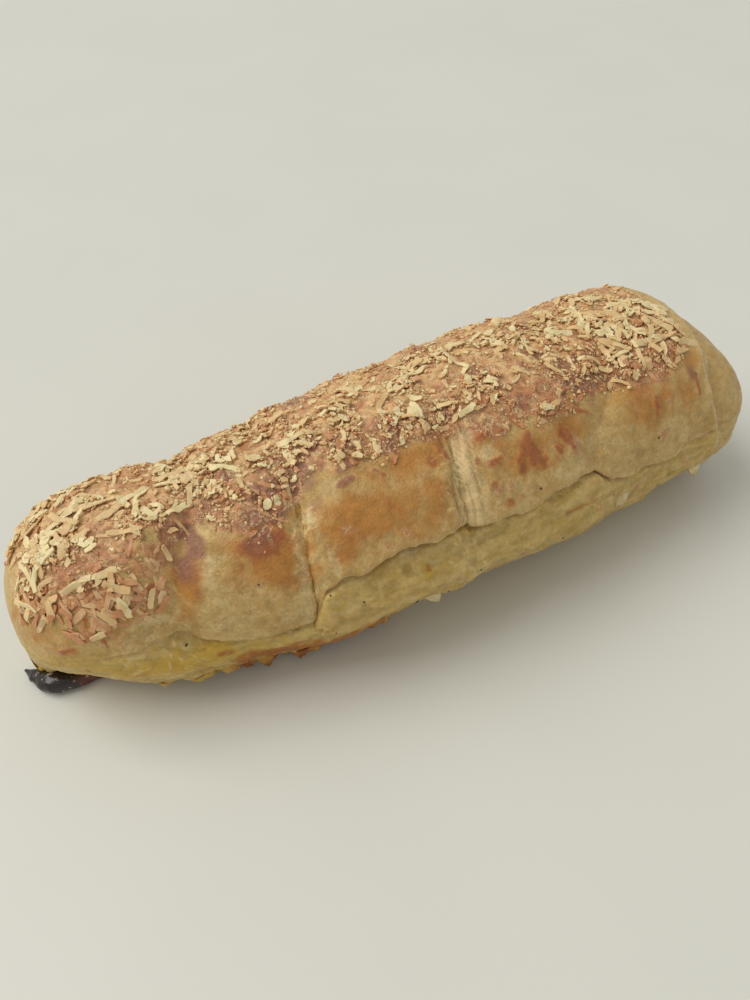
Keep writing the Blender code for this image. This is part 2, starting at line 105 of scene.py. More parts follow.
END_LIPS = [
    ([(-100, 58), (-60, 64), (-20, 68), (16, 69.5), (34, 67.6), (47, 66.3), (65, 65.5), (74, 62), (80, 58),
      (100, 54)], 1.15),
    ([(-100, 63), (-60, 67), (-20, 70), (16, 71.5), (34, 70), (47, 68.6), (59, 67.6), (70, 68.1), (84, 69),
      (97, 70.3)], 1.4),
]
END_LIP_WIDTH = 0.6
END_LIP_RETURN = 9.0
END_BULGE = 0.35
LUMP_SIZE = 0.55
LUMP_LENGTH = 13.0
FOOT_SPREAD = [
    (-85, 0), (-72, 0), (-64, 0.6), (-50, 0.6), (-35, 0.7), (-22, 0.6), (-12, 0.1), (0, 0), (85, 0),
]
FOOT_HEIGHT = 2.2
FOOT_TUCK = [
    (-85, 2.0), (-82, 5.0), (-78, 7.8), (-74, 7.8), (-70, 5.8), (-65, 3.8), (-60, 2.9), (-51, 4.0),
    (-44, 2.2), (-32, 2.2), (-22, 4.4), (-12, 4.6), (-4, 5.6), (8, 5.2), (16, 4.8), (24, 4.0),
    (34, 2.2), (46, 0.4), (53, 2.2), (60, 2.4), (70, 4.4), (77, 1.0), (85, -0.4),
]
TUCK_HEIGHT = [
    (-85, 22.0), (-74, 20.0), (-64, 12.0), (-44, 11.0), (-30, 12.0), (-15, 19.0), (14, 19.0),
    (32, 12.0), (56, 11.0), (68, 18.0), (85, 14.0),
]
CHEESE_FRONT = [
    (-82, 30), (-79, 36), (-74, 42), (-67, 48), (-62, 43), (-57, 36), (-50, 28), (-45, 31), (-41, 44),
    (-37, 48), (-33, 37), (-28, 25), (-18, 26), (-12, 30), (-5, 28), (2, 27), (6, 36), (12, 35),
    (20, 40), (26, 43), (35, 40), (45, 42), (54, 42), (61, 41), (68, 28),
]
CHEESE_BACK = [(-82, -40), (-60, -53), (-40, -45), (-20, -51), (0, -46), (20, -55), (45, -49), (68, -41)]
CHEESE_X = (-81.5, 66.0)
CHEESE_HEAPS = [
    (-76, 6, 9, 26), (-60, -6, 12, 18), (-44, -8, 10, 16), (-27, 2, 9, 14), (-4, -12, 12, 16),
    (22, -10, 12, 16), (55, 8, 11, 24),
]
CHEESE_BED = 0.45

# How finely the skin is cut: rows along X, and columns of each zone once round.
ROWS = 400
COLUMNS_BACK_FOOT = 22
COLUMNS_BACK_FOLD = 12
COLUMNS_OUTER = 138
COLUMNS_FRONT_FOLD = 20
COLUMNS_FRONT_FOOT = 42
FOLD_MARGIN = 8.5
SMALLEST_RING = 0.02
SMALLEST_FOLD = 0.35
# Millimetres round the log in one degree, for patterns and for the map of what lies on it.
ROUND_MM = 0.42
# The log's rough radius, which turns a length round it into degrees, and its least share towards the tips.
LOG_RADIUS = 24.0
LEAST_RADIUS_SHARE = 0.4

BURNT_PATH = [(-87.2, 6.9), (-85.3, 3.6), (-82.8, 0.5), (-79.0, -0.5), (-75.5, -1.1), (-72.6, -2.4)]
BURNT_RADIUS = [0.25, 1.1, 1.95, 2.05, 1.65, 0.8]
BURNT_RINGS = 60
BURNT_CORNERS = 36


def curve(x, knots):
    """A smooth curve through knots, as a cubic with the slopes of its neighbours, level past both ends."""
    xs, ys = np.array(knots, float).T
    slopes = np.gradient(ys, xs)
    x = np.clip(x, xs[0], xs[-1])
    i = np.clip(np.searchsorted(xs, x, side="right") - 1, 0, len(xs) - 2)
    step = xs[i + 1] - xs[i]
    t = (x - xs[i]) / step
    return (
        ys[i] * (1 + 2 * t) * (1 - t) ** 2
        + slopes[i] * step * t * (1 - t) ** 2
        + ys[i + 1] * t * t * (3 - 2 * t)
        + slopes[i + 1] * step * t * t * (t - 1)
    )


def line(x, knots):
    """Straight lines between knots."""
    xs, ys = np.array(knots, float).T
    return np.interp(x, xs, ys)


def ease(t):
    t = np.clip(t, 0, 1)
    return t * t * (3 - 2 * t)


LATTICE = np.random.RandomState(11).uniform(-1, 1, (32, 32, 32))


def noise(points, size, seed=0):
    """Smooth noise from -1 to 1 at points in millimetres, with bumps about size apart."""
    q = points / size + seed * 7.31
    cell = np.floor(q).astype(int)
    f = q - cell
    f = f * f * (3 - 2 * f)
    total = 0
    for dx in (0, 1):
        for dy in (0, 1):
            for dz in (0, 1):
                weight = np.abs(1 - dx - f[..., 0]) * np.abs(1 - dy - f[..., 1]) * np.abs(1 - dz - f[..., 2])
                corner = (cell + (dx, dy, dz)) % 32
                total = total + weight * LATTICE[corner[..., 0], corner[..., 1], corner[..., 2]]
    return total


def unit(vectors):
    """The same directions, one long."""
    return vectors / np.maximum(np.linalg.norm(vectors, axis=-1, keepdims=True), 1e-9)


def peak(away, width):
    """1 at 0, falling smoothly to nothing within a few widths."""
    return np.exp(-((away / width) ** 2))


def closing(x):
    """How much of its full section the log has at x: 1 along the middle, 0 at the tips."""
    power = np.where(x < 0, CAP_POWER[0], CAP_POWER[1])
    return np.sqrt(np.clip(1 - np.abs(x / HALF_LENGTH) ** power, 0, 1))


def smooth_log(x, angle):
    """The plain log without any relief, in millimetres. The angle is in degrees."""
    wide, top, bend, k = curve(x, HALF_WIDTH), curve(x, TOP_HEIGHT), curve(x, SIDE_BEND), closing(x)
    half_height = (top + BASE_SINK) / 2
    middle = half_height - BASE_SINK
    c, s = np.cos(np.radians(angle)), np.sin(np.radians(angle))
    power = SECTION_POWER_TOP + (SECTION_POWER_FOOT - SECTION_POWER_TOP) * ease(0.5 - c)
    radius = (np.abs(s / wide) ** power + np.abs(c / half_height) ** power) ** (-1 / power)
    sag = k ** (1 - np.where(x < 0, *TIP_SAG) * ease(-1.3 * c))
    height = middle * (CAP_RISE + (1 - CAP_RISE) * k) + radius * c * sag
    return np.stack([x + 0 * angle, bend - radius * s * k, height], -1)


def normals(x, angle):
    """Outward unit normals of the plain log."""
    dx, da = 0.05, 0.2
    x0, x1 = np.clip(x - dx, -HALF_LENGTH, HALF_LENGTH), np.clip(x + dx, -HALF_LENGTH, HALF_LENGTH)
    along = smooth_log(x1, angle) - smooth_log(x0, angle)
    around = smooth_log(x, angle + da) - smooth_log(x, angle - da)
    return unit(np.cross(around, along))


def score_depth(x, angle):
    """How deep the scores cut at this place."""
    beside = np.where(angle > 0, 1, SCORE_BACK_SHARE) * ease(np.abs(angle) / SCORE_FADE_HALF_ANGLE)
    share = SCORE_FADE_TOP + (1 - SCORE_FADE_TOP) * beside
    total = 0
    for score in SCORES:
        d = np.abs(x - curve(angle, score["path"]))
        crease, crease_width = score["crease"]
        valley, valley_width = score["valley"]
        cut = crease * np.exp(-d / crease_width) + valley * peak(d, valley_width)
        total = total + share * cut
    return total * (1 - ease((np.abs(angle) - 88) / 20))


def cheese_room(x, angle):
    """How far inside the cheese's patch a place lies: 1 in the middle, 0 at its edge."""
    front, back = line(x, CHEESE_FRONT), line(x, CHEESE_BACK)
    across = np.minimum(front - angle, angle - back) / 12
    ends = np.minimum(x - CHEESE_X[0], CHEESE_X[1] - x) / 4
    return np.clip(np.minimum(across, ends), 0, 1)


def cheese_heap(x, angle):
    """How thickly the cheese lies at a place, from 0.45 between the heaps to 1 on them."""
    most = 0
    for heap_x, heap_angle, along, around in CHEESE_HEAPS:
        away = ((x - heap_x) / along) ** 2 + ((angle - heap_angle) / around) ** 2
        most = np.maximum(most, np.exp(-away))
    return 0.45 + 0.55 * most


def end_drop(x, angle, p):
    """How far the skin sinks past the lips at the +X end, before the inner roll bulges out again."""
    total = 0
    for path, drop in END_LIPS:
        past = x - curve(angle, path) - 0.6 * noise(p, 5.0, 3)
        back = (1 + END_BULGE) * peak(np.maximum(past, 0), END_LIP_RETURN) - END_BULGE
        rim = 0.3 * peak(past + 1.1, 1.1)
        total = total + drop * (ease(past / END_LIP_WIDTH) * back - rim)
    return total


def outer_relief(x, angle):
    """Height of the outer sheet over the plain log: scores, the end lips and soft lumps."""
    p = smooth_log(x, angle)
    lumps = LUMP_SIZE * noise(p, LUMP_LENGTH, 1) + 0.25 * LUMP_SIZE * noise(p, LUMP_LENGTH / 3, 2)
    bed = CHEESE_BED * cheese_room(x, angle) * (1 + 0.7 * noise(p, 3.2, 8))
    return lumps + bed - score_depth(x, angle) - end_drop(x, angle, p)


def under_height(x, angle, seam, gape, side):
    """Height of the layer under the free edge, or of the same sheet where the edge doesn't gape."""
    away = side * (angle - seam)
    drop = UNDER_LAYER_DROP * gape * closing(x) * peak(away, UNDER_LAYER_RETURN)
    p = smooth_log(x, angle)
    above = curve(x, LEDGE) + 4 * noise(p, 7.0, 9) - side * angle
    ledge = curve(x, LEDGE_HEIGHT) * (ease(above / 4 + 0.5) - 0.5 - 0.5 * ease((above - 4) / 30))
    torn = ease(gape / TORN_GAPE)
    layer = 0.4 * noise(p, 9.0, 4) + 0.25 * noise(p, 3.5, 5) + ledge - drop - end_drop(x, side * angle, p)
    return torn * layer + (1 - torn) * outer_relief(x, angle)


def row_places():
    """Places of the rows along X, closer together at the two crisp scores and the lips."""
    fine = -HALF_LENGTH * np.cos(np.linspace(0, math.pi, 8001))
    profile = smooth_log(fine, np.zeros_like(fine))
    step = np.linalg.norm(np.diff(profile, axis=0), axis=1)
    middle = (fine[1:] + fine[:-1]) / 2
    weight = 1.0 + 0.8 * peak(middle + 32, 2.6) + 0.8 * peak(middle - 1, 2.6) + 0.6 * peak(middle - 68, 3.0)
    travelled = np.concatenate([[0], np.cumsum(step * weight)])
    k = closing(fine)
    first = travelled[np.argmax(k > SMALLEST_RING)]
    last = travelled[len(k) - 1 - np.argmax(k[::-1] > SMALLEST_RING)]
    return np.interp(np.linspace(first, last, ROWS), travelled, fine)


def fold_columns(x, seam, gape, side, count):
    """Angles and heights of the columns folded under the free edge, in front (side 1) or behind (side -1)."""
    k = closing(x)
    torn = ease(gape / TORN_GAPE)
    gape = gape * k
    narrow = np.maximum(k, SMALLEST_FOLD)
    steps = []
    for s in np.linspace(0, len(SEAM_FOLD) - 1, count):
        down, out = (float(through(s, values)) for values in zip(*SEAM_FOLD))
        flat = float(np.interp(s, (0, len(SEAM_FOLD) - 1), (SEAM_FOLD[0][0], SEAM_FOLD[-1][0])))
        reach = (torn * down + (1 - torn) * flat) * (0.45 + 0.55 * gape) * narrow
        steps.append((seam + side * np.degrees(reach / (LOG_RADIUS * narrow)), out * gape))
    return steps


def ridged(points, size, seed):
    """Noise with sharp crests, from 0 to 1."""
    return 1 - np.minimum(np.abs(noise(points, size, seed)) * 2.2, 1)


def on_plane(x, y=0):
    """Points at X and Y in one plane, for noise along one or two ways."""
    return np.stack([x + 0 * y, y + 0 * x, 0 * (x + y)], -1)


def through(s, values):
    """A smooth curve through values that lie one apart."""
    return curve(s, list(enumerate(values)))


def two_sizes(points, amounts, sizes, seed):
    """Large and small noise added up, each with its own amount."""
    return amounts[0] * noise(points, sizes[0], seed) + amounts[1] * noise(points, sizes[1], seed + 1)


def build_skin():
    """The pastry's skin as a grid, with what each column is, for the fine relief and the colours."""
    x = row_places()
    front, back = line(x, FRONT_SEAM), line(x, BACK_SEAM)
    front = front + 1.6 * noise(on_plane(x), 3.0, 6)
    front = front + 0.8 * noise(on_plane(x), 1.2, 7)
    front_gape, back_gape = curve(x, FRONT_GAPE), curve(x, BACK_GAPE)
    columns = []
    for t in np.linspace(0, 1, COLUMNS_BACK_FOOT, endpoint=False):
        angle = -180 + (back - 4 + 180) * t
        columns.append((angle, under_height(x, angle, back, back_gape, -1), 0))
    for angle, height in reversed(fold_columns(x, back, back_gape, -1, COLUMNS_BACK_FOLD)):
        columns.append((angle, height + outer_relief(x, np.maximum(angle, back)), 1))
    for t in (np.arange(COLUMNS_OUTER) + 0.5) / COLUMNS_OUTER:
        angle = back + FOLD_MARGIN + (front - back - 2 * FOLD_MARGIN) * t
        columns.append((angle, outer_relief(x, angle), 2))
    for angle, height in fold_columns(x, front, front_gape, 1, COLUMNS_FRONT_FOLD):
        columns.append((angle, height + outer_relief(x, np.minimum(angle, front)), 3))
    for t in ((np.arange(COLUMNS_FRONT_FOOT) + 0.35) / COLUMNS_FRONT_FOOT) ** 1.35:
        angle = front + 4 + (180 - front - 4) * t
        columns.append((angle, under_height(x, angle, front, front_gape, 1), 4))
    grid = np.zeros((len(x), len(columns), 3))
    angles = np.zeros(grid.shape[:2])
    zone = np.array([kind for _, _, kind in columns])
    for j, (angle, height, _) in enumerate(columns):
        point = smooth_log(x, angle) + normals(x, angle) * (height * closing(x) ** 0.5)[:, None]
        low = ease(1.3 - point[:, 2] / FOOT_HEIGHT / 1.6) * (angle > 90) * (angle < 150)
        point[:, 1] -= low * curve(x, FOOT_SPREAD) * (1 + 1.5 * noise(point, 3.0, 10))
        beside = ease(2 * np.sin(np.radians(angle))) * (angle > 90)
        point[:, 1] += beside * ease(1 - point[:, 2] / curve(x, TUCK_HEIGHT)) * curve(x, FOOT_TUCK)
        grid[:, j] = point
        angles[:, j] = angle
    xs = np.repeat(x[:, None], len(columns), 1)
    fronts, backs = front[:, None] + 0 * xs, back[:, None] + 0 * xs
    return grid, xs, angles, zone, fronts, backs


def grid_normals(grid):
    """Outward unit normals of a grid whose columns go once round."""
    along = np.gradient(grid, axis=0)
    around = np.roll(grid, -1, axis=1) - np.roll(grid, 1, axis=1)
    return unit(np.cross(around, along))


def near_crease(xs, angles, index, width):
    """1 on a score's crease, falling to 0 beside it."""
    return peak(np.abs(xs - curve(angles, SCORES[index]["path"])), width)


# Hollows in the layers under the seam: (x, angle, half size along in mm, half size around in degrees, depth).
HOLES = [(-14.1, 77.0, 1.1, 2.6, 0.55), (-12.2, 70.5, 2.2, 2.6, 0.3)]


def fine_relief(grid, xs, angles, zone):
    """Small relief of the baked skin, in millimetres along its normal."""
    folded = np.where((zone == 1) | (zone == 3), 0.5, 1.0)[None, :]
    under = np.where((zone == 0) | (zone == 4), 1.0, 0.0)[None, :]
    room = cheese_room(xs, angles) * (1 - under)
    bare = 1 - ease(room * 1.6)
    flat = on_plane(xs, angles * ROUND_MM)
    # Blisters, grain and fine wrinkles of the film.
    h = 0.2 * noise(grid, 4.2, 20) * bare + two_sizes(grid, (0.1, 0.06), (1.9, 1.0), 21)
    bent = flat + 1.5 * noise(grid, 5.0, 23)[..., None]
    h -= 0.05 * peak(noise(bent * (0.8, 1.0, 1.0), 3.2, 24), 0.16) * bare
    # Broken film: thin plates that end in low steps.
    for level in PLATE_LEVELS:
        h += 0.3 * ease((plates(grid) - level) / 0.05) * flaky_share(xs, angles) * (1 - room)
    h += 0.34 * browned_shreds(xs, angles, grid)
    # Layers cut open beside the crisp creases, in thin ridges that run along them.
    for index, width, share in ((2, 2.8, 1.0), (1, 2.0, 0.8)):
        d = xs - curve(angles, SCORES[index]["path"])
        ridges = np.abs(noise(on_plane(d / 0.8, angles * ROUND_MM / 7.0), 1.0, 27))
        shown = peak(d, width) * ease((angles - 22) / 8) * (1 - under)
        h += share * shown * (0.9 * ridges - 0.3 + 0.12 * noise(grid, 0.9, 30))
    h -= 0.35 * cut_lines(xs, angles, grid) * (1 - under)
    # Wide layers under the free edge, with few crisp ends.
    drift = 0.35 * noise(grid, 5.0, 28)[..., None]
    layers = noise(on_plane(xs / 17.0, angles * ROUND_MM / 3.0) + drift, 1.0, 29)
    h += (0.32 * ease((layers - 0.12) / 0.09) - 0.10 * peak(layers - 0.1, 0.06)) * under
    for x, angle, along, around, depth in HOLES:
        d = np.hypot((xs - x) / along, (angles - angle) / around) + 0.25 * noise(grid, 1.5, 34)
        h -= depth * np.exp(-(d**4))
    # The lumpy band that fried along the foot.
    band = ease((7.5 - grid[..., 2]) / 3.0) * (angles > 60) * (angles < 150) * ease((-6 - xs) / 8)
    h += band * two_sizes(grid, (1.7, 0.9), (2.6, 1.2), 60)
    # Melted cheese between the shreds.
    bed = 0.5 * ridged(grid, 2.4, 31) + 0.4 * ridged(grid, 1.2, 32) + 0.25 * noise(grid, 0.7, 33) - 0.42
    h += 0.75 * bed * ease(room * 1.6)
    return h * folded


PLATE_LEVELS = (-0.3, 0.05, 0.4)


def cut_lines(xs, angles, grid):
    """1 in the thin dark lines between the layers that the second crease from +X cut open."""
    d = xs - curve(angles, SCORES[2]["path"]) + 0.35 * noise(grid, 4.0, 63)
    most = np.zeros_like(xs)
    for place_at in (-1.7, 1.5, 3.1):
        most = np.maximum(most, peak(d - place_at, 0.3))
    return most * ease((angles - 24) / 8) * ease((72 - angles) / 6)


def plates(grid):
    """Height of the broken film's plates, which step up at each of PLATE_LEVELS."""
    return two_sizes(grid, (1, 0.4), (6.5, 2.6), 25)


# Shreds that melted onto the skin and browned: (x, angle) of both ends, and the half width in millimetres.
BROWNED_SHREDS = [
    (-18.4, 15, -13.4, 12.5, 0.75), (-20.4, 22.5, -16.1, 21.5, 0.8), (-22.1, 29.5, -19.4, 29, 1),
    (-9.9, 18, -8.9, 25.5, 0.8), (-1.1, 31.5, -0.1, 38, 0.7), (-25.6, 9, -22.6, 8.5, 0.8),
    (-27.4, 18, -25.9, 17, 0.9), (-10.6, 11.5, -9.4, 9.5, 0.7), (7.4, 35, 9.6, 34, 0.7),
    (11.9, 36.5, 14.4, 34.5, 0.6), (8.1, 47, 9.9, 46, 0.75), (7.6, 59.5, 8.1, 57, 0.6),
    (9.9, 60, 10.4, 58, 0.6), (17.4, 42, 16.6, 53, 1.2), (13.4, 50.5, 14.9, 48, 0.7),
    (50.4, 50, 49.9, 58.5, 0.4), (62.6, 47, 62.4, 57.5, 0.45), (26.6, 46.5, 26.9, 54, 0.7),
    (22.6, 51, 23.4, 54, 0.6), (-77.4, 74.5, -75.6, 77.5, 0.8), (-72.1, 53.5, -72.6, 65, 0.4),
    (-61.6, 51, -59.4, 46, 0.8), (-70.4, 70, -70.1, 76.5, 0.4), (-39.1, 44, -35.6, 40.5, 1.5),
    (-40.1, 24, -39.9, 29.5, 0.8), (-14.5, 29, -13.2, 33, 0.5), (3.2, 26, 5.8, 24, 0.6),
    (31, 40, 33, 43, 0.6), (12, -58, 14, -55, 0.8), (-24, -60, -21, -58, 0.8), (40, -60, 41, -56, 0.7),
    (-50, -58, -47, -60, 0.8),
]


def browned_shreds(xs, angles, grid):
    """1 on the browned shreds, falling to 0 at their soft edges."""
    most = np.zeros_like(xs)
    bent = 0.35 * noise(grid, 1.4, 55)
    for x0, a0, x1, a1, half_width in BROWNED_SHREDS:
        near = (np.abs(xs - (x0 + x1) / 2) < 6) & (np.abs(angles - (a0 + a1) / 2) < 14)
        x, y = xs[near] - x0, (angles[near] - a0) * ROUND_MM
        dx, dy = x1 - x0, (a1 - a0) * ROUND_MM
        t = np.clip((x * dx + y * dy) / (dx * dx + dy * dy), 0, 1)
        d = np.hypot(x - t * dx, y - t * dy) + bent[near]
        most[near] = np.maximum(most[near], np.exp(-((np.maximum(d, 0) / half_width) ** 3)))
    return most


def flaky_share(xs, angles):
    """Where the film is broken into plates: beside the creases, and low on the side near the -X end."""
    share = 0.75 * ease((angles - 62) / 16) * peak(xs + 62, 12)
    share = np.maximum(share, 0.25 * ease((angles - 50) / 25))
    for index, reach, most in ((0, 4.0, 0.5), (1, 4.0, 0.8), (2, 5.5, 0.9), (3, 4.0, 0.5)):
        share = np.maximum(share, most * near_crease(xs, angles, index, reach) * ease((angles - 25) / 12))
    return share


def add_mesh(name, points, faces, smooth=True):
    """A mesh object of these points, in millimetres in the log's own place."""
    moved = (np.asarray(points) + (*MIDDLE_SHIFT, 0)) * MM
    mesh = bpy.data.meshes.new(name)
    mesh.vertices.add(len(moved))
    mesh.vertices.foreach_set("co", moved.astype(np.float32).ravel())
    sizes = np.array([len(face) for face in faces])
    mesh.loops.add(int(sizes.sum()))
    corners = np.concatenate([np.asarray(face) for face in faces])
    mesh.loops.foreach_set("vertex_index", corners.astype(np.int32))
    mesh.polygons.add(len(faces))
    mesh.polygons.foreach_set("loop_start", (np.cumsum(sizes) - sizes).astype(np.int32))
    mesh.update(calc_edges=True)
    mesh.validate()
    if smooth:
        mesh.shade_smooth()
    obj = bpy.data.objects.new(name, mesh)
    bpy.context.scene.collection.objects.link(obj)
    return obj


def capped(grid):
    """A grid's points in one list, with the middles of its two end rings, the hubs of its caps, last."""
    return np.concatenate([grid.reshape(-1, 3), [grid[0].mean(0), grid[-1].mean(0)]])


def grid_faces(rows, columns, start=0):
    """Faces of a capped grid whose rings turn counterclockwise about its rows' direction."""
    i, j = np.meshgrid(np.arange(rows - 1), np.arange(columns), indexing="ij")
    k = (j + 1) % columns
    corners = [i * columns + j, i * columns + k, (i + 1) * columns + k, (i + 1) * columns + j]
    faces = list(np.stack(corners, -1).reshape(-1, 4) + start)
    hub = rows * columns + start
    last = start + (rows - 1) * columns
    for c in range(columns):
        after = (c + 1) % columns
        faces += [(hub, start + after, start + c), (hub + 1, last + c, last + after)]
    return faces


def add_attribute(obj, name, values):
    layer = obj.data.attributes.new(name, "FLOAT", "POINT")
    layer.data.foreach_set("value", np.asarray(values, np.float32).ravel())


def srgb(r, g, b):
    """A colour given as it shows on a screen, 0 to 255, as linear light."""
    out = []
    for v in (r, g, b):
        v /= 255
        out.append(v / 12.92 if v <= 0.04045 else ((v + 0.055) / 1.055) ** 2.4)
    return (*out, 1.0)


# Coloured places on the skin: (x, angle, half size along in mm, half size around in degrees, strength).
# The entries at x -53.2 and -50.9 lie in the first score's valley: painted shade there.
DARK = [
    (-38.6, 40.5, 3.4, 6.2, 0.6), (-53.2, 42, 2.4, 14, 0.85), (-36, 31, 4.5, 5, 0.85), (-35, 18, 5, 9, 0.9),
    (-31, 3, 5, 7, 0.6), (-50.9, 32, 2.4, 12, 1), (-46, 15, 3, 8, 0.6), (-23, 4, 3.5, 8, 0.8),
    (-28, 20, 3, 5, 0.7), (-9.5, 20, 1.8, 3, 0.7), (0, 20, 4, 2.6, 0.8), (8, 28, 2.4, 4, 0.45),
    (3, 12, 5, 6, 0.5), (14, 12, 3.5, 6, 0.7), (19, 27, 5, 4.5, 0.6), (29, 3, 3, 6, 0.7),
    (36, 28, 6.5, 8, 1), (31, 17, 4, 6, 0.7), (-12, 8, 5, 6, 0.6), (46, 33, 4, 4, 0.6), (62, 46, 1, 6, 0.8),
    (-70, 20, 4, 8, 0.4), (-60, 30, 4, 6, 0.5), (-54, 20, 3, 7, 0.5), (44, 2, 5, 7, 0.4),
    (56, 30, 4, 6, 0.4), (-30, -30, 6, 8, 0.6), (10, -34, 6, 8, 0.6), (40, -36, 6, 8, 0.6),
    (-62, -38, 6, 7, 0.5),
]
# The entry at x -53.5, angle 52 browns the first score's valley: partly the pastry's own browning, partly
# painted shade.
GOLD = [
    (-14, 45, 13, 18, 0.85), (-21, 50, 4.5, 9, 1), (-25, 56, 3.5, 7, 0.95), (-13, 50, 3, 6, 0.9),
    (-5, 48, 2.4, 8, 0.85), (-37, 49, 6.5, 12, 1), (-7, 38, 5, 12, 0.8), (-42, 58, 5, 6, 0.45),
    (-53.5, 52, 3.4, 20, 1), (-55, 68, 2.4, 10, 0.8), (16, 46, 9, 9, 0.7), (48, 50, 8, 10, 0.85),
    (60, 50, 4, 13, 0.6), (30, 44, 6, 9, 0.7), (-66, 56, 7, 10, 0.65), (-80, 60, 4, 20, 0.45),
    (4, 46, 2, 10, 0.4), (-20, -56, 12, 14, 0.8), (18, -60, 12, 14, 0.8), (52, -54, 10, 12, 0.7),
    (-52, -62, 10, 12, 0.7), (-78, -50, 5, 16, 0.5),
]
RED = [
    (-38.6, 41, 3.8, 6.8, 1.1), (-35.5, 34, 2, 4, 0.7), (17, 47, 2.3, 5, 1), (18.5, 55, 1.6, 4, 0.9),
    (26, 48, 1.1, 4.5, 0.9), (24, 52, 0.9, 2, 0.7), (22, 57, 1.6, 2.4, 0.5), (14, 54, 1, 3, 0.9),
    (7, 56, 1.1, 2.2, 0.85), (9.4, 66, 1.2, 2, 0.8), (12.2, 65.5, 0.9, 1.7, 0.7), (5.5, 44, 0.9, 2.2, 0.8),
    (9, 47, 0.9, 2.4, 0.6), (11, 40, 1, 2.2, 0.6), (48, 44, 2.6, 6, 0.5), (54, 47, 2, 6, 0.35),
    (58, 55, 0.6, 4, 0.5), (-24, 52, 1.8, 3, 0.5), (-14, 46, 1.6, 4.5, 0.55), (-12, 53, 3, 3, 0.35),
    (-3.5, 36, 1.1, 3.2, 0.8), (-5, 48, 1.4, 4, 0.35), (-40, 49, 1.6, 3.4, 0.6), (-34, 46, 1.2, 4, 0.5),
    (-44, 50, 1.2, 3, 0.5), (-76, 74, 1.5, 2.6, 0.8), (-66, 57, 0.8, 4, 0.5), (-73, 60, 1, 2.4, 0.4),
    (-81, 62, 0.8, 4, 0.5), (-79, 56, 1, 3, 0.4), (8, -58, 2, 4, 0.8), (20, -55, 1.6, 5, 0.7),
    (-26, -52, 2, 5, 0.7), (44, -58, 2, 4, 0.7), (-46, -50, 2, 4, 0.7),
]
YELLOW = [
    (-10.4, 82, 1.3, 3.8, 1), (-14.1, 77, 1, 2.4, 0.35), (34.6, 65, 0.9, 2, 0.8), (26, 88, 10, 6, 0.4),
    (-58, 100, 13, 9, 1), (-78, 84, 6, 10, 0.6), (-70, 96, 9, 9, 0.85), (-44, 108, 9, 7, 0.6),
    (0, 73, 3, 2.5, 0.6), (-84, 40, 3, 60, 0.35),
]
ORANGE = [
    (-33, 112, 16, 8, 1), (-46, 110, 5, 6, 0.7), (-20, 112, 6, 6, 0.7), (-66, 104, 2.5, 3, 0.5),
    (-60, 100, 1.6, 2.6, 0.4), (28, 86, 7, 2, 0.6),
]
PALE = [
    (-12.2, 70.5, 2, 2.6, 1), (4, 58, 2.4, 12, 0.6), (3, 34, 3, 6, 0.8), (7, 40, 2.4, 6, 0.6),
    (-29, 40, 1.4, 8, 0.7), (-27.5, 62, 1.2, 8, 0.6), (-49, 46, 2, 7, 0.7), (62, 52, 1.4, 12, 0.3),
    (-61, 68, 3.6, 5, 0.7), (-57, 76, 2.6, 3.4, 0.6), (-66, 74, 2.6, 3.4, 0.5), (-44, 62, 5, 5, 0.4),
    (-46, 76, 5, 5, 0.45), (10, 58, 5, 4, 0.5), (24, 63, 5, 4, 0.4),
]


def stained(places, xs, angles, warp, edge=1.6):
    """Soft-edged marks at named places, warped so that none is an ellipse."""
    most = np.zeros_like(xs)
    for x, angle, along, around, strength in places:
        d = np.hypot((xs - x) / along + warp[0], (angles - angle) / around + warp[1])
        most = np.maximum(most, strength * np.exp(-(d ** (2 * edge)) * 0.7))
    return most


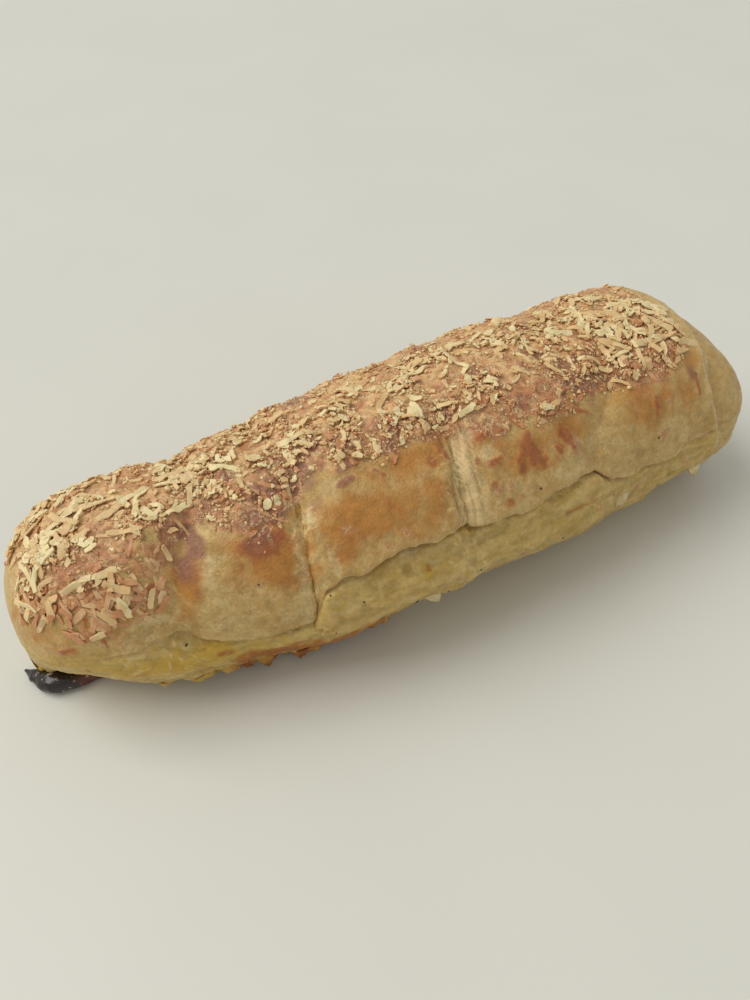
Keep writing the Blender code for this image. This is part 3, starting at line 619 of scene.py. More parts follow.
def mesh_skin():
    """The skin as one piece, and the grid that the toppings are placed on."""
    grid, xs, angles, zone, fronts, backs = build_skin()
    up = grid_normals(grid)
    relief = fine_relief(grid, xs, angles, zone) * closing(xs) ** 0.5
    rested = ease((grid[..., 2] - 0.4) / 2.5)
    fine = grid + up * (relief * rested)[..., None]
    fine[..., 2] = np.maximum(fine[..., 2], 0)
    rows, columns = xs.shape
    skin = add_mesh("pastry_skin", capped(fine), grid_faces(rows, columns))

    under = ((zone == 0) | (zone == 4))[None, :] * np.ones_like(xs)
    room = cheese_room(xs, angles) * (1 - under)
    warp = [two_sizes(grid, (0.55, 0.3), (4.0, 1.6), seed) for seed in (41, 43)]
    # Paler bands along the front lip and the end lips: partly the sheet's paler edge, partly a painted
    # highlight along it.
    lip_pale_and_highlight = peak(fronts - angles - 0.3, 1.0) * (1 - under)
    for path, _ in END_LIPS:
        lip_pale_and_highlight = np.maximum(lip_pale_and_highlight, 2.4 * peak(xs - curve(angles, path) + 0.5, 0.6) * (1 - under))
    moved = (8 + 10 * ease((-48 - xs) / 6)) * noise(grid, 4.6, 62) - 5 * ease((-50 - xs) / 6)
    ragged = cheese_room(xs, angles + moved) * (1 - under)
    toast = ease(ragged * 1.7 + 0.5 * noise(grid, 3.4, 45) + 0.3 * noise(grid, 1.6, 49))
    facing = ease((angles + 2) / 30) * (1 - under)
    dark = stained(DARK, xs, angles, warp)
    dark = dark * (1 - 0.6 * ease((-52 - xs) / 8))
    scorched = ease((noise(grid, 5.5, 46) - 0.25) / 0.3) * room ** 0.5
    dark = np.maximum(dark, (0.75 - 0.5 * ease((-46 - xs) / 8)) * scorched)
    gold = np.clip(stained(GOLD, xs, angles, warp, 1.2) + 0.25 * noise(grid, 7.0, 47) * (1 - under), 0, 1)
    blush = ease(1 - np.abs(angles - line(xs, CHEESE_FRONT) - 2) / 16) * (xs < 66) * (1 - under)
    gold = np.maximum(gold, blush * np.clip(0.5 + 0.8 * noise(grid, 6.0, 50), 0, 0.9))
    torn_warp = [two_sizes(grid, (0.5, 0.3), (2.2, 1.0), seed) for seed in (51, 53)]
    red = stained(RED, xs, angles, torn_warp)
    pale = near_crease(xs - 1.2, angles, 2, 3.2) * ease((angles - 22) / 10)
    pale = np.maximum(pale, 0.55 * near_crease(xs + 1.5, angles, 1, 1.6) * ease((angles - 30) / 15))
    pale = np.maximum(pale, 0.3 * near_crease(xs, angles, 3, 2.0) * ease((angles - 40) / 10))
    pale = np.maximum(pale * (1 - under), np.maximum(0.3 * lip_pale_and_highlight, stained(PALE, xs, angles, warp)))
    # Painted highlight: a pale line along the rim of each plate's step.
    for level in PLATE_LEVELS:
        edge = peak(plates(grid) - level - 0.03, 0.05)
        pale = np.maximum(pale, 1.1 * edge * flaky_share(xs, angles) * (1 - room))
    shreds = browned_shreds(xs, angles, grid)
    purple = ease((2 - xs) / 3) * ease((xs + 42) / 3) * ease((34 - angles) / 4)
    red = np.maximum(red, shreds * (1 - 0.6 * purple))
    dark = np.maximum(dark, 0.85 * shreds * purple)
    dark = np.maximum(dark, 0.6 * cut_lines(xs, angles, grid) * (1 - under))
    yellow = stained(YELLOW, xs, angles, warp, 1.2)
    orange = stained(ORANGE, xs, angles, warp) * (angles > 60)
    front_foot = angles > 60
    yellow = np.maximum(yellow, ease((5.0 - grid[..., 2]) / 3.0) * front_foot * ease((-34 - xs) / 10))
    orange = np.maximum(orange, 0.75 * yellow * ease((noise(grid, 2.6, 64) - 0.2) / 0.4) * front_foot)
    fried = ease((5.6 + 2.0 * noise(grid, 3.0, 65) - grid[..., 2]) / 2.0)
    fried = fried * ease((xs + 56) / 8) * ease((-8 - xs) / 8)
    orange = np.maximum(orange, 1.3 * fried * front_foot)
    bottom = ease((1.6 - grid[..., 2]) / 1.6) * ease((np.abs(angles) - 110) / 30)
    orange = np.maximum(orange, 0.7 * bottom)
    # Painted shade: a mask that darkens the hollows of the fine relief and lightens its crests a little.
    relief_shade = np.zeros_like(relief)
    for reach in (1, 3):
        beside = sum(np.roll(relief, way, axis) for way in (reach, -reach) for axis in (0, 1))
        relief_shade += relief - 0.25 * beside
    masks = {
        "toast": toast, "facing": facing, "dark": dark, "gold": gold, "red": red, "pale": pale,
        "yellow": yellow, "orange": orange, "under": under, "bare": 1 - ease(room * 1.6),
        "relief_shade": np.clip(0.5 + 2.2 * relief_shade, 0, 1),
    }
    for name, values in masks.items():
        add_attribute(skin, name, np.append(values, [values[0].mean(), values[-1].mean()]))
    return skin, fine, xs, zone, fronts, backs


skin, skin_grid, skin_x, skin_zone, skin_front, skin_back = mesh_skin()
OUTER = np.nonzero(skin_zone == 2)[0]
outer_points = skin_grid[:, OUTER]
outer_normals = grid_normals(skin_grid)[:, OUTER]


def place(x, angle):
    """Points of the outer sheet as it shows, and its normals there."""
    x, angle = np.atleast_1d(x).astype(float), np.atleast_1d(angle).astype(float)
    row = np.interp(x, skin_x[:, 0], np.arange(ROWS))
    r = np.clip(row.astype(int), 0, ROWS - 2)
    f = (row - r)[:, None]
    front, back = np.interp(x, skin_x[:, 0], skin_front[:, 0]), np.interp(x, skin_x[:, 0], skin_back[:, 0])
    t = (angle - back - FOLD_MARGIN) / (front - back - 2 * FOLD_MARGIN)
    column = np.clip(t * COLUMNS_OUTER - 0.5, 0, COLUMNS_OUTER - 1.001)
    c = column.astype(int)
    g = (column - c)[:, None]
    out = []
    for a in (outer_points, outer_normals):
        here, after = (a[row, c] * (1 - g) + a[row, c + 1] * g for row in (r, r + 1))
        out.append(here * (1 - f) + after * f)
    return out[0], unit(out[1])


# Grated cheese. The first strips are those that the solid carries.
SHRED_SEED = 7
SHRED_COUNT = 110
SHRED_LENGTH = (8.5, 3.6)
SHRED_SPACING = 2.1
STRIP_SECTION = [(1.0, -0.4), (0.86, 1.0), (-0.86, 1.0), (-1.0, -0.4), (-0.62, -1.0), (0.62, -1.0)]
STRIP_RINGS = 8
CHIP_CORNERS = 9
CRUMB_CORNERS = 12
PILE_CELL = 0.6
PILE_TOP = 0.7
# How much more toasted the bits towards the front are.
FRONT_TONE = 0.3
# How far along the log the bits may reach.
CHEESE_REACH = (-84.6, 80)
pile = np.zeros((300, 230))


def radius_at(x, least=LEAST_RADIUS_SHARE):
    return LOG_RADIUS * max(float(closing(np.array(x))), least)


def pile_cells(x, angle):
    return (np.clip(((x + 90) / PILE_CELL).astype(int), 1, pile.shape[0] - 2),
            np.clip(((angle * ROUND_MM + 45) / PILE_CELL).astype(int), 1, pile.shape[1] - 2))


def raise_pile(i, j, height):
    for di, dj in ((0, 0), (1, 0), (-1, 0), (0, 1), (0, -1)):
        np.maximum.at(pile, (i + di, j + dj), np.minimum(height, PILE_TOP))


def solid_strips():
    """Place, heading, bend and length of the strips that the solid carries, longest first."""
    draw = random.Random(SHRED_SEED)
    centres, found = [], []
    while len(found) < SHRED_COUNT:
        share = len(found) / SHRED_COUNT
        x, angle = draw.uniform(*CHEESE_X), draw.uniform(-52, 50)
        room = float(cheese_room(x, angle) ** 0.6 * cheese_heap(x, angle))
        heading, bend = draw.uniform(0, math.pi), draw.gauss(0, 0.6)
        radius = radius_at(x, 0)
        flat = np.array([x, math.radians(angle) * radius])
        crowded = any(np.hypot(*(flat - c)) < SHRED_SPACING * (1.6 - 0.6 * share) for c in centres)
        if room < draw.random() or crowded:
            continue
        centres.append(flat)
        length = SHRED_LENGTH[0] + (SHRED_LENGTH[1] - SHRED_LENGTH[0]) * share**0.6
        found.append((x, angle, heading, bend, length * draw.uniform(0.85, 1.1)))
    return found


def cheese_spots(seed, count, edge, heapness):
    """Places in the cheese's patch. More edge empties its rim, more heapness gathers them on the heaps."""
    draw = np.random.RandomState(seed)
    tries = 14 * count
    x, angle = draw.uniform(*CHEESE_X, tries), draw.uniform(-56, 52, tries)
    clump = np.clip(0.5 + 1.3 * noise(on_plane(x, angle * ROUND_MM), 5.0, 48), 0.1, 1)
    likely = cheese_room(x, angle) ** edge * cheese_heap(x, angle) ** heapness * clump
    kept = np.nonzero(likely > draw.uniform(size=tries))[0][:count]
    return list(zip(x[kept], angle[kept]))


def more_strips(seed, count, lengths, heapness, apart, limits=(-90, 90)):
    """More strips, their middles at least so far apart, between two places along the log."""
    draw = random.Random(seed)
    found, taken = [], []
    for x, angle in cheese_spots(seed, 4 * count, 0.9, heapness):
        spot = np.array([x, angle * ROUND_MM])
        crowded = len(taken) and np.min(np.linalg.norm(np.array(taken) - spot, axis=1)) < apart
        if crowded or len(found) == count or not limits[0] < x < limits[1]:
            continue
        taken.append(spot)
        length = lengths[0] + (lengths[1] - lengths[0]) * draw.random() ** 2.2
        found.append((x, angle, draw.uniform(0, math.pi), draw.gauss(0, 0.3), length))
    return found


def stray_strips(seed, count, lengths):
    """Strips that slid down the -X end past the edge of the cheese's bed, most of them pointing down."""
    draw = random.Random(seed)
    found = []
    for _ in range(count):
        x = draw.uniform(-82, -57)
        angle = float(line(x, CHEESE_FRONT)) - 4 + 27 * draw.random() ** 1.7
        heading, bend = math.pi / 2 + draw.gauss(0, 0.7), draw.gauss(0, 0.3)
        found.append((x, angle, heading, bend, draw.uniform(*lengths)))
    return found


def lay_strip(draw, x, angle, heading, bend, length, width, thick, curl, sunk):
    """Rings of one flat strip that lies on the skin and on what is already there."""
    radius = radius_at(x)
    t = np.linspace(-0.5, 0.5, STRIP_RINGS)
    kink = draw.gauss(0, 0.5) * (draw.random() < 0.15)
    turn = heading + 0.6 * bend * t + kink * ease((t - draw.uniform(-0.3, 0.3)) * 5 + 0.5)
    px = np.clip(x + length * t * np.cos(turn), *CHEESE_REACH)
    pa = angle + np.degrees(length * t * np.sin(turn) / radius)
    base, up = place(px, pa)
    i, j = pile_cells(px, pa)
    below = pile[i, j]
    lift = 0.5 * below + 0.5 * np.interp(t, (-0.5, 0.5), (below[:3].max(), below[-3:].max())) + 0.4 * thick
    lift = np.convolve(np.pad(lift, 1, mode="edge"), (0.25, 0.5, 0.25), "valid")
    lift = lift + curl * (2 * t) ** 2 * draw.uniform(0.3, 1.0)
    lift = lift + draw.uniform(-0.25, 0.25) * t * min(length, 5) / 3
    lift = np.maximum(lift - sunk, -0.1)
    raise_pile(i, j, lift + 0.8 * thick)
    middle = base + up * lift[:, None]
    along = unit(np.gradient(middle, axis=0))
    side = unit(np.cross(along, up))
    roll = draw.gauss(0, 0.2) + draw.gauss(0, 0.45) * t + math.pi
    across = side * np.cos(roll)[:, None] + up * np.sin(roll)[:, None]
    over = np.cross(along, across)
    blunt = draw.uniform(0.5, 0.9)
    taper = np.where((t == t[0]) | (t == t[-1]), blunt, 1.0)
    rings = []
    for a, b in STRIP_SECTION:
        wide = width / 2 * taper * np.array([draw.uniform(0.72, 1.18) for _ in t])
        high = thick / 2 * (0.5 + 0.5 * taper) * np.array([draw.uniform(0.8, 1.2) for _ in t])
        rings.append(middle + a * wide[:, None] * across + b * high[:, None] * over)
    return np.stack(rings, 1)


def pick_tone(draw, tones, angle):
    """How toasted one piece is, more so towards the front."""
    return draw.uniform(*tones) + FRONT_TONE * float(ease((angle - 4) / 30))


def add_cheese(name, points, faces, tone, smooth=True):
    """Cheese bits of one kind as one piece, which keeps their edges crisp."""
    obj = add_mesh(name, np.concatenate(points), faces, smooth)
    if smooth:
        obj.data.set_sharp_from_angle(angle=math.radians(38))
    add_attribute(obj, "tone", np.concatenate(tone))
    return obj


def build_strips(name, found, seed, widths, thicks, curls, tones, sunk):
    """All strips of one kind as one piece. The attribute tone says how toasted each place is, plus painted
    shade beneath.
    """
    draw = random.Random(seed)
    points, faces, tone = [], [], []
    count = 0
    for x, angle, heading, bend, length in found:
        width = draw.uniform(*widths) * min(1, 0.6 + length / 8)
        thick, curl = draw.uniform(*thicks), draw.uniform(*curls)
        rings = lay_strip(draw, x, angle, heading, bend, length, width, thick, curl, sunk)
        points.append(capped(rings))
        faces += grid_faces(STRIP_RINGS, len(STRIP_SECTION), count)
        mine = pick_tone(draw, tones, angle)
        ends = np.abs(np.linspace(-1, 1, STRIP_RINGS)) ** 4 * draw.uniform(0, 0.3)
        # Painted shade: the undersides get a slightly deeper tone.
        low = np.array([0.04 if b < 0 else 0.0 for _, b in STRIP_SECTION])
        tone.append(np.append(mine + ends[:, None] + low, [mine + 0.2, mine + 0.2]))
        count += STRIP_RINGS * len(STRIP_SECTION) + 2
    return add_cheese(name, points, faces, tone)


def lay_chip(draw, x, angle, size, thick, curl):
    """Top and bottom corners of a flat ragged chip, then the middles of both sides."""
    radius = radius_at(x)
    turn = np.linspace(0, 2 * math.pi, CHIP_CORNERS, endpoint=False)
    turn = turn + np.array([draw.uniform(-0.25, 0.25) for _ in turn])
    reach = size / 2 * np.array([draw.uniform(0.55, 1.2) for _ in turn])
    longer, heading = draw.uniform(1.0, 1.9), draw.uniform(0, math.pi)
    u, v = longer * reach * np.cos(turn), reach * np.sin(turn) / longer**0.5
    u, v = np.append(u, 0), np.append(v, 0)
    px = np.clip(x + u * math.cos(heading) - v * math.sin(heading), *CHEESE_REACH)
    pa = angle + np.degrees((u * math.sin(heading) + v * math.cos(heading)) / radius)
    base, up = place(px, pa)
    i, j = pile_cells(px, pa)
    below = pile[i, j]
    tilt, lean = draw.gauss(0, 0.12), draw.gauss(0, 0.12)
    lift = 0.35 * below + 0.65 * np.sort(below)[-3] + tilt * u + lean * v
    lift = lift + curl * (np.hypot(u, v) / size) ** 2 * 2
    lift = np.maximum(lift, -0.1)
    raise_pile(i, j, lift + 0.8 * thick)
    top, bottom = base + up * (lift + thick)[:, None], base + up * (lift - 0.1)[:, None]
    return np.concatenate([top[:-1], bottom[:-1], top[-1:], bottom[-1:]])


def chip_faces():
    """Faces of a chip, whose corners run from along to across as seen from above."""
    c = CHIP_CORNERS
    faces = []
    for k in range(c):
        n = (k + 1) % c
        faces += [(2 * c, n, k), (2 * c + 1, c + k, c + n), (k, n, c + n, c + k)]
    return faces


def build_chips(name, seed, count, sizes, thicks, curls, tones, heapness):
    draw = random.Random(seed)
    points, faces, tone = [], [], []
    for number, (x, angle) in enumerate(cheese_spots(seed, count, 0.8, heapness)):
        size = sizes[0] + (sizes[1] - sizes[0]) * draw.random() ** 1.8
        points.append(lay_chip(draw, x, angle, size, draw.uniform(*thicks), draw.uniform(*curls)))
        start = number * (2 * CHIP_CORNERS + 2)
        faces += [tuple(start + v for v in face) for face in chip_faces()]
        mine = pick_tone(draw, tones, angle)
        # The middle of the top is a little lighter; the underside is a little deeper in tone, which is
        # painted shade.
        tone.append([mine] * CHIP_CORNERS + [mine + 0.05] * CHIP_CORNERS + [mine - 0.1, mine + 0.05])
    return add_cheese(name, points, faces, tone)


def lump_corners():
    golden = (1 + 5**0.5) / 2
    corners = []
    for a in (-1, 1):
        for b in (-golden, golden):
            corners += [(0, a, b), (a, b, 0), (b, 0, a)]
    return np.array(corners) / 1.9


def lump_faces():
    made = bmesh.new()
    for corner in lump_corners():
        made.verts.new(corner)
    bmesh.ops.convex_hull(made, input=made.verts)
    made.verts.ensure_lookup_table()
    faces = [tuple(v.index for v in face.verts) for face in made.faces]
    spots = np.array([v.co[:] for v in made.verts])
    made.free()
    match = [int(np.argmin(np.linalg.norm(lump_corners() - spot, axis=1))) for spot in spots]
    return [tuple(match[v] for v in face) for face in faces]


LUMP_CORNERS = lump_corners()
LUMP_FACES = lump_faces()


def lump(draw, centre, up, size, flat):
    """Corners of a small irregular lump."""
    corners = LUMP_CORNERS * np.array([[draw.uniform(0.65, 1.3)] for _ in LUMP_CORNERS])
    side = np.cross(up, (0.3, 1, 0.1))
    side /= np.linalg.norm(side)
    other = np.cross(up, side)
    turn = draw.uniform(0, math.pi)
    a = side * math.cos(turn) + other * math.sin(turn)
    b = other * math.cos(turn) - side * math.sin(turn)
    longer = draw.uniform(0.8, 1.8)
    return centre + size * (corners[:, :1] * a * longer + corners[:, 1:2] * b + corners[:, 2:] * flat * up)


def build_crumbs(name, seed, count, sizes, tones, heapness):
    draw = random.Random(seed)
    points, faces, tone = [], [], []
    for number, (x, angle) in enumerate(cheese_spots(seed, count, 0.45, heapness)):
        base, up = place(x, angle)
        i, j = pile_cells(np.array([x]), np.array([angle]))
        size = sizes[0] + (sizes[1] - sizes[0]) * draw.random() ** 2
        lift = float(pile[i, j][0]) * draw.uniform(0.4, 1.0) + 0.15 * size
        points.append(lump(draw, base[0] + up[0] * lift, up[0], size, 0.5))
        faces += [tuple(number * CRUMB_CORNERS + v for v in face) for face in LUMP_FACES]
        tone.append([pick_tone(draw, tones, angle)] * CRUMB_CORNERS)
    return add_cheese(name, points, faces, tone, smooth=False)


first = solid_strips()
heaped = [float(cheese_heap(x, angle)) > 0.72 for x, angle, *_ in first]
toasted = [strip for strip, on_heap in zip(first, heaped) if not on_heap]
toasted += more_strips(31, 280, (1.2, 4.0), 0.3, 1.3)
toasted += more_strips(33, 130, (2.6, 6.0), 0.1, 1.6, (-85, -48))
toasted += stray_strips(36, 110, (1.4, 4.6))
creamy = [strip for strip, on_heap in zip(first, heaped) if on_heap]
creamy += more_strips(32, 70, (1.6, 4.5), 1.6, 2.0, (-48, 38))
creamy += more_strips(34, 85, (3.0, 7.2), 0.6, 2.1, (-85, -46))
creamy += more_strips(35, 95, (2.2, 7.6), 1.2, 1.5, (38, 70))
creamy += stray_strips(37, 11, (2.4, 5.0))
toasted_strips = build_strips(
    "toasted_strips", toasted, 51, (0.8, 1.5), (0.2, 0.34), (-0.2, 0.1), (0.0, 0.95), 0.2)
toasted_chips = build_chips(
    "toasted_chips", 53, 800, (0.5, 1.7), (0.1, 0.22), (-0.1, 0.12), (0.0, 1.0), 0.2)
creamy_chips = build_chips("creamy_chips", 54, 760, (0.5, 2.0), (0.1, 0.24), (-0.1, 0.2), (0.0, 1.0), 1.1)
creamy_strips = build_strips(
    "creamy_strips", creamy, 52, (0.85, 1.7), (0.2, 0.34), (-0.2, 0.32), (0.0, 0.9), 0.08)
toasted_crumbs = build_crumbs("toasted_crumbs", 61, 2800, (0.14, 0.46), (0.0, 1.0), 0.15)
creamy_crumbs = build_crumbs("creamy_crumbs", 62, 2200, (0.14, 0.42), (0.0, 0.8), 1.2)


def build_burnt():
    """The leaked cheese that burnt beside the -X end."""
    s = np.linspace(0, len(BURNT_PATH) - 1, BURNT_RINGS)
    px, py = (through(s, values) for values in zip(*BURNT_PATH))
    r = through(s, BURNT_RADIUS)
    r = r * np.sqrt(np.clip(np.minimum(s + 0.06, s[-1] - s + 0.06) / 0.5, 0, 1))
    dx, dy = np.gradient(px), np.gradient(py)
    size = np.hypot(dx, dy)
    dx, dy = dx / size, dy / size
    turn = np.linspace(0, 2 * math.pi, BURNT_CORNERS, endpoint=False)
    out, high = 1.35 * r[:, None] * np.cos(turn), r[:, None] * (0.83 + np.sin(turn))
    grid = np.stack([px[:, None] - dy[:, None] * out, py[:, None] + dx[:, None] * out, high], -1)
    n = unit(grid - np.stack([px, py, 0.8 * r], -1)[:, None])
    grid = grid + n * two_sizes(grid, (0.28, 0.12), (1.7, 0.7), 71)[..., None]
    grid[..., 2] = np.maximum(grid[..., 2], 0)
    obj = add_mesh("burnt_cheese", capped(grid), grid_faces(BURNT_RINGS, BURNT_CORNERS))
    brown = ease((grid[..., 0] + 80.5) / 5) * 0.9
    add_attribute(obj, "brown", np.append(brown, [brown[0, 0], brown[-1, 0]]))
    return obj


# The way down the picture in the cross-section, as (Y, Z): the crisp edge stands out of the foot this way.
EDGE_OUT = (-0.685, -0.728)
EDGE_UP = (-0.728, 0.685)


def foot_edge(x):
    """The lowest point of the front foot as the camera sees it, as Y and Z at places along the log."""
    columns = np.nonzero(skin_zone == 4)[0]
    points = skin_grid[:, columns]
    far = points[..., 1] * EDGE_OUT[0] + points[..., 2] * EDGE_OUT[1]
    best = np.argmax(far, axis=1)
    rows = np.arange(len(points))
    edges = []
    for axis in (1, 2):
        values = np.interp(x, skin_x[:, 0], points[rows, best, axis])
        edges.append(np.convolve(np.pad(values, 7, mode="edge"), np.ones(15) / 15, "valid"))
    return edges


def build_crisp_edge():
    """The crisp ragged edge that spread from the layers along the front, from the -X end to the middle."""
    x = np.linspace(-76, -9, 420)
    edge_y, edge_z = foot_edge(x)
    fade = ease((x + 76) / 5) * ease((-9 - x) / 8)
    reach = fade * np.clip(0.7 + two_sizes(on_plane(x), (0.9, 0.4), (5.2, 1.7), 81), 0.1, 1.7)
    section = [(3.0, -0.6), (2.0, 0.15), (1.0, 0.6), (0.1, 1.0), (-0.7, 0.7), (-1.5, -0.5), (0.4, -1.6)]
    rings = []
    for up, out in section:
        reached = out * reach if out > 0 else 0 * x + out
        raised = up * (0.6 + 0.4 * fade)
        y = edge_y + reached * EDGE_OUT[0] + raised * EDGE_UP[0]
        z = edge_z + reached * EDGE_OUT[1] + raised * EDGE_UP[1]
        rings.append(np.stack([x, y, z], -1))
    grid = np.stack(rings, 1)
    rough = two_sizes(grid, (0.55, 0.35), (1.7, 0.9), 83) * fade[:, None]
    grid[..., 1] += rough
    grid[..., 2] = np.maximum(grid[..., 2] + 0.8 * rough, 0.03)
    obj = add_mesh("crisp_edge", capped(grid), grid_faces(len(x), len(section)))
    brown = np.repeat(ease((x + 54) / 9)[:, None], len(section), 1) * (0.8 + 0.5 * noise(grid, 3.0, 85))
    add_attribute(obj, "brown", np.append(brown, [0.0, 1.0]))
    return obj


# Loose flakes of the pastry's film: (x, angle, heading in degrees, length, width, lift).
FLAKES = [(-7.5, 110, 25, 4.6, 3, 1.2), (43.5, 103, -12, 6.5, 3.2, 1.2), (66, 108, 8, 4.5, 3, 0.9)]

# Places of the dark specks: (x, angle).
SPECKS = [
    (-24, 84), (-13, 96), (-30, 74), (-30, 98), (-5, 103), (17, 66), (2, 96), (24, 102), (38, 92),
    (-42, 60), (-57, 84), (50, 70), (-28, -70), (10, -80), (36, -66),
]


def skin_spot(x, angle):
    """The skin's point nearest to a place on the plain log, and the log's normal there."""
    x, angle = np.array(float(x)), np.array(float(angle))
    d = np.linalg.norm(skin_grid - smooth_log(x, angle), axis=-1)
    return skin_grid[np.unravel_index(np.argmin(d), d.shape)], normals(x, angle)


def build_flakes():
    draw = random.Random(91)
    points, faces = [], []
    count = 0
    n, m = 8, 5
    for x, angle, heading, length, width, lift in FLAKES:
        root, up = skin_spot(x, angle)
        turn = math.radians(heading)
        along = np.array([math.cos(turn), 0, math.sin(turn)])
        along = along - up * along.dot(up)
        along /= np.linalg.norm(along)
        if np.cross(along, up)[2] > 0:
            along = -along
        away = np.cross(along, up)
        u, v = np.meshgrid(np.linspace(-0.5, 0.5, n), np.linspace(0, 1, m), indexing="ij")
        jag = 1 + 0.35 * np.array([draw.uniform(-1, 1) for _ in range(n)])[:, None] * v
        narrow = 1 - 0.55 * v**1.5
        p = root + (u * narrow * length)[..., None] * along + ((v - 0.35) * width * jag)[..., None] * away
        rise = lift * v**1.6 * (0.7 + 0.5 * np.cos(u * 3)) - 0.35 * (1 - v) + 0.12 * noise(p, 1.5, 92)
        top = p + rise[..., None] * up
        bottom = top - 0.16 * up
        top[..., 2], bottom[..., 2] = np.maximum(top[..., 2], 0.3), np.maximum(bottom[..., 2], 0.12)
        # One closed loop of points per station along the flake: over the top, then back below.
        loop = np.concatenate([top, bottom[:, ::-1]], 1)
        points.append(capped(loop))
        faces += grid_faces(n, 2 * m, count)
        count += n * 2 * m + 2
    return add_mesh("pastry_flakes", np.concatenate(points), faces)


def build_specks():
    """Tiny dark specks on the skin."""
    draw = random.Random(95)
    points, faces = [], []
    for x, angle in SPECKS:
        start = len(points) * CRUMB_CORNERS
        root, up = skin_spot(x, angle)
        points.append(lump(draw, root, up, draw.uniform(0.2, 0.32), 0.6))
        faces += [tuple(start + v for v in face) for face in LUMP_FACES]
    return add_mesh("dark_specks", np.concatenate(points), faces)


burnt = build_burnt()
crisp_edge = build_crisp_edge()
flakes = build_flakes()
specks = build_specks()


class Nodes:
    """A material's node tree, with short calls for what the materials here use."""

    def __init__(self, name):
        self.material = bpy.data.materials.new(name)
        self.material.use_nodes = True
        self.tree = self.material.node_tree
        self.shader = self.tree.nodes["Principled BSDF"]
        self.where = self.tree.nodes.new("ShaderNodeTexCoord").outputs["Object"]

    def link(self, value, socket):
        """Links a socket, or sets it. A colour is given as it shows on a screen."""
        if isinstance(value, bpy.types.NodeSocket):
            self.tree.links.new(value, socket)
        else:
            socket.default_value = srgb(*value) if socket.type == "RGBA" else value

    def new(self, kind, inputs, **settings):
        """A new node with its settings and with what its inputs get."""
        node = self.tree.nodes.new("ShaderNode" + kind)
        for name, value in settings.items():
            setattr(node, name, value)
        for name, value in inputs.items():
            self.link(value, node.inputs[name])
        return node

    def attribute(self, name):
        return self.new("Attribute", {}, attribute_name=name).outputs["Fac"]

    def noise(self, size_mm, detail=3.0, roughness=0.55, stretch=None):
        where = self.where
        if stretch:
            where = self.new("Mapping", {"Vector": where, "Scale": stretch}).outputs["Vector"]
        inputs = {"Vector": where, "Scale": 1 / (size_mm * MM), "Detail": detail, "Roughness": roughness}
        return self.new("TexNoise", inputs).outputs["Fac"]

    def crackle(self, size_mm, width):
        """1 on the plates of a cracked film, 0 on the thin lines between them."""
        size = size_mm * MM
        shift = self.new("TexNoise", {"Vector": self.where, "Scale": 1 / (1.4 * size)}).outputs["Color"]
        parts = {0: shift, 1: (1.6 * size,) * 3, 2: self.where}
        warp = self.new("VectorMath", parts, operation="MULTIPLY_ADD").outputs["Vector"]
        cells = self.new("TexVoronoi", {}, feature="DISTANCE_TO_EDGE")
        self.link(warp, cells.inputs["Vector"])
        self.link(1 / size, cells.inputs["Scale"])
        return self.between(cells.outputs["Distance"], 0.0, width)

    def math(self, operation, a, b=0.5, c=0.5):
        return self.new("Math", {0: a, 1: b, 2: c}, operation=operation).outputs[0]

    def between(self, value, low, high, to_low=0.0, to_high=1.0):
        inputs = {"Value": value, "From Min": low, "From Max": high, "To Min": to_low, "To Max": to_high}
        return self.new("MapRange", inputs, interpolation_type="SMOOTHSTEP").outputs["Result"]

    def mix(self, share, a, b, blend="MIX"):
        return self.new("Mix", {0: share, 6: a, 7: b}, data_type="RGBA", blend_type=blend).outputs[2]

    def rough_edge(self, mask, grain, spread, low, high):
        """A mask whose edge is broken up by a grain."""
        shifted = self.math("MULTIPLY_ADD", grain, spread, -spread / 2)
        return self.between(self.math("ADD", mask, shifted), low, high)

    def bump(self, height, strength, distance_mm):
        inputs = {"Strength": strength, "Distance": distance_mm * MM, "Height": height}
        self.link(self.new("Bump", inputs).outputs["Normal"], self.shader.inputs["Normal"])

    def set(self, **values):
        for name, value in values.items():
            self.link(value, self.shader.inputs[name.replace("_", " ")])


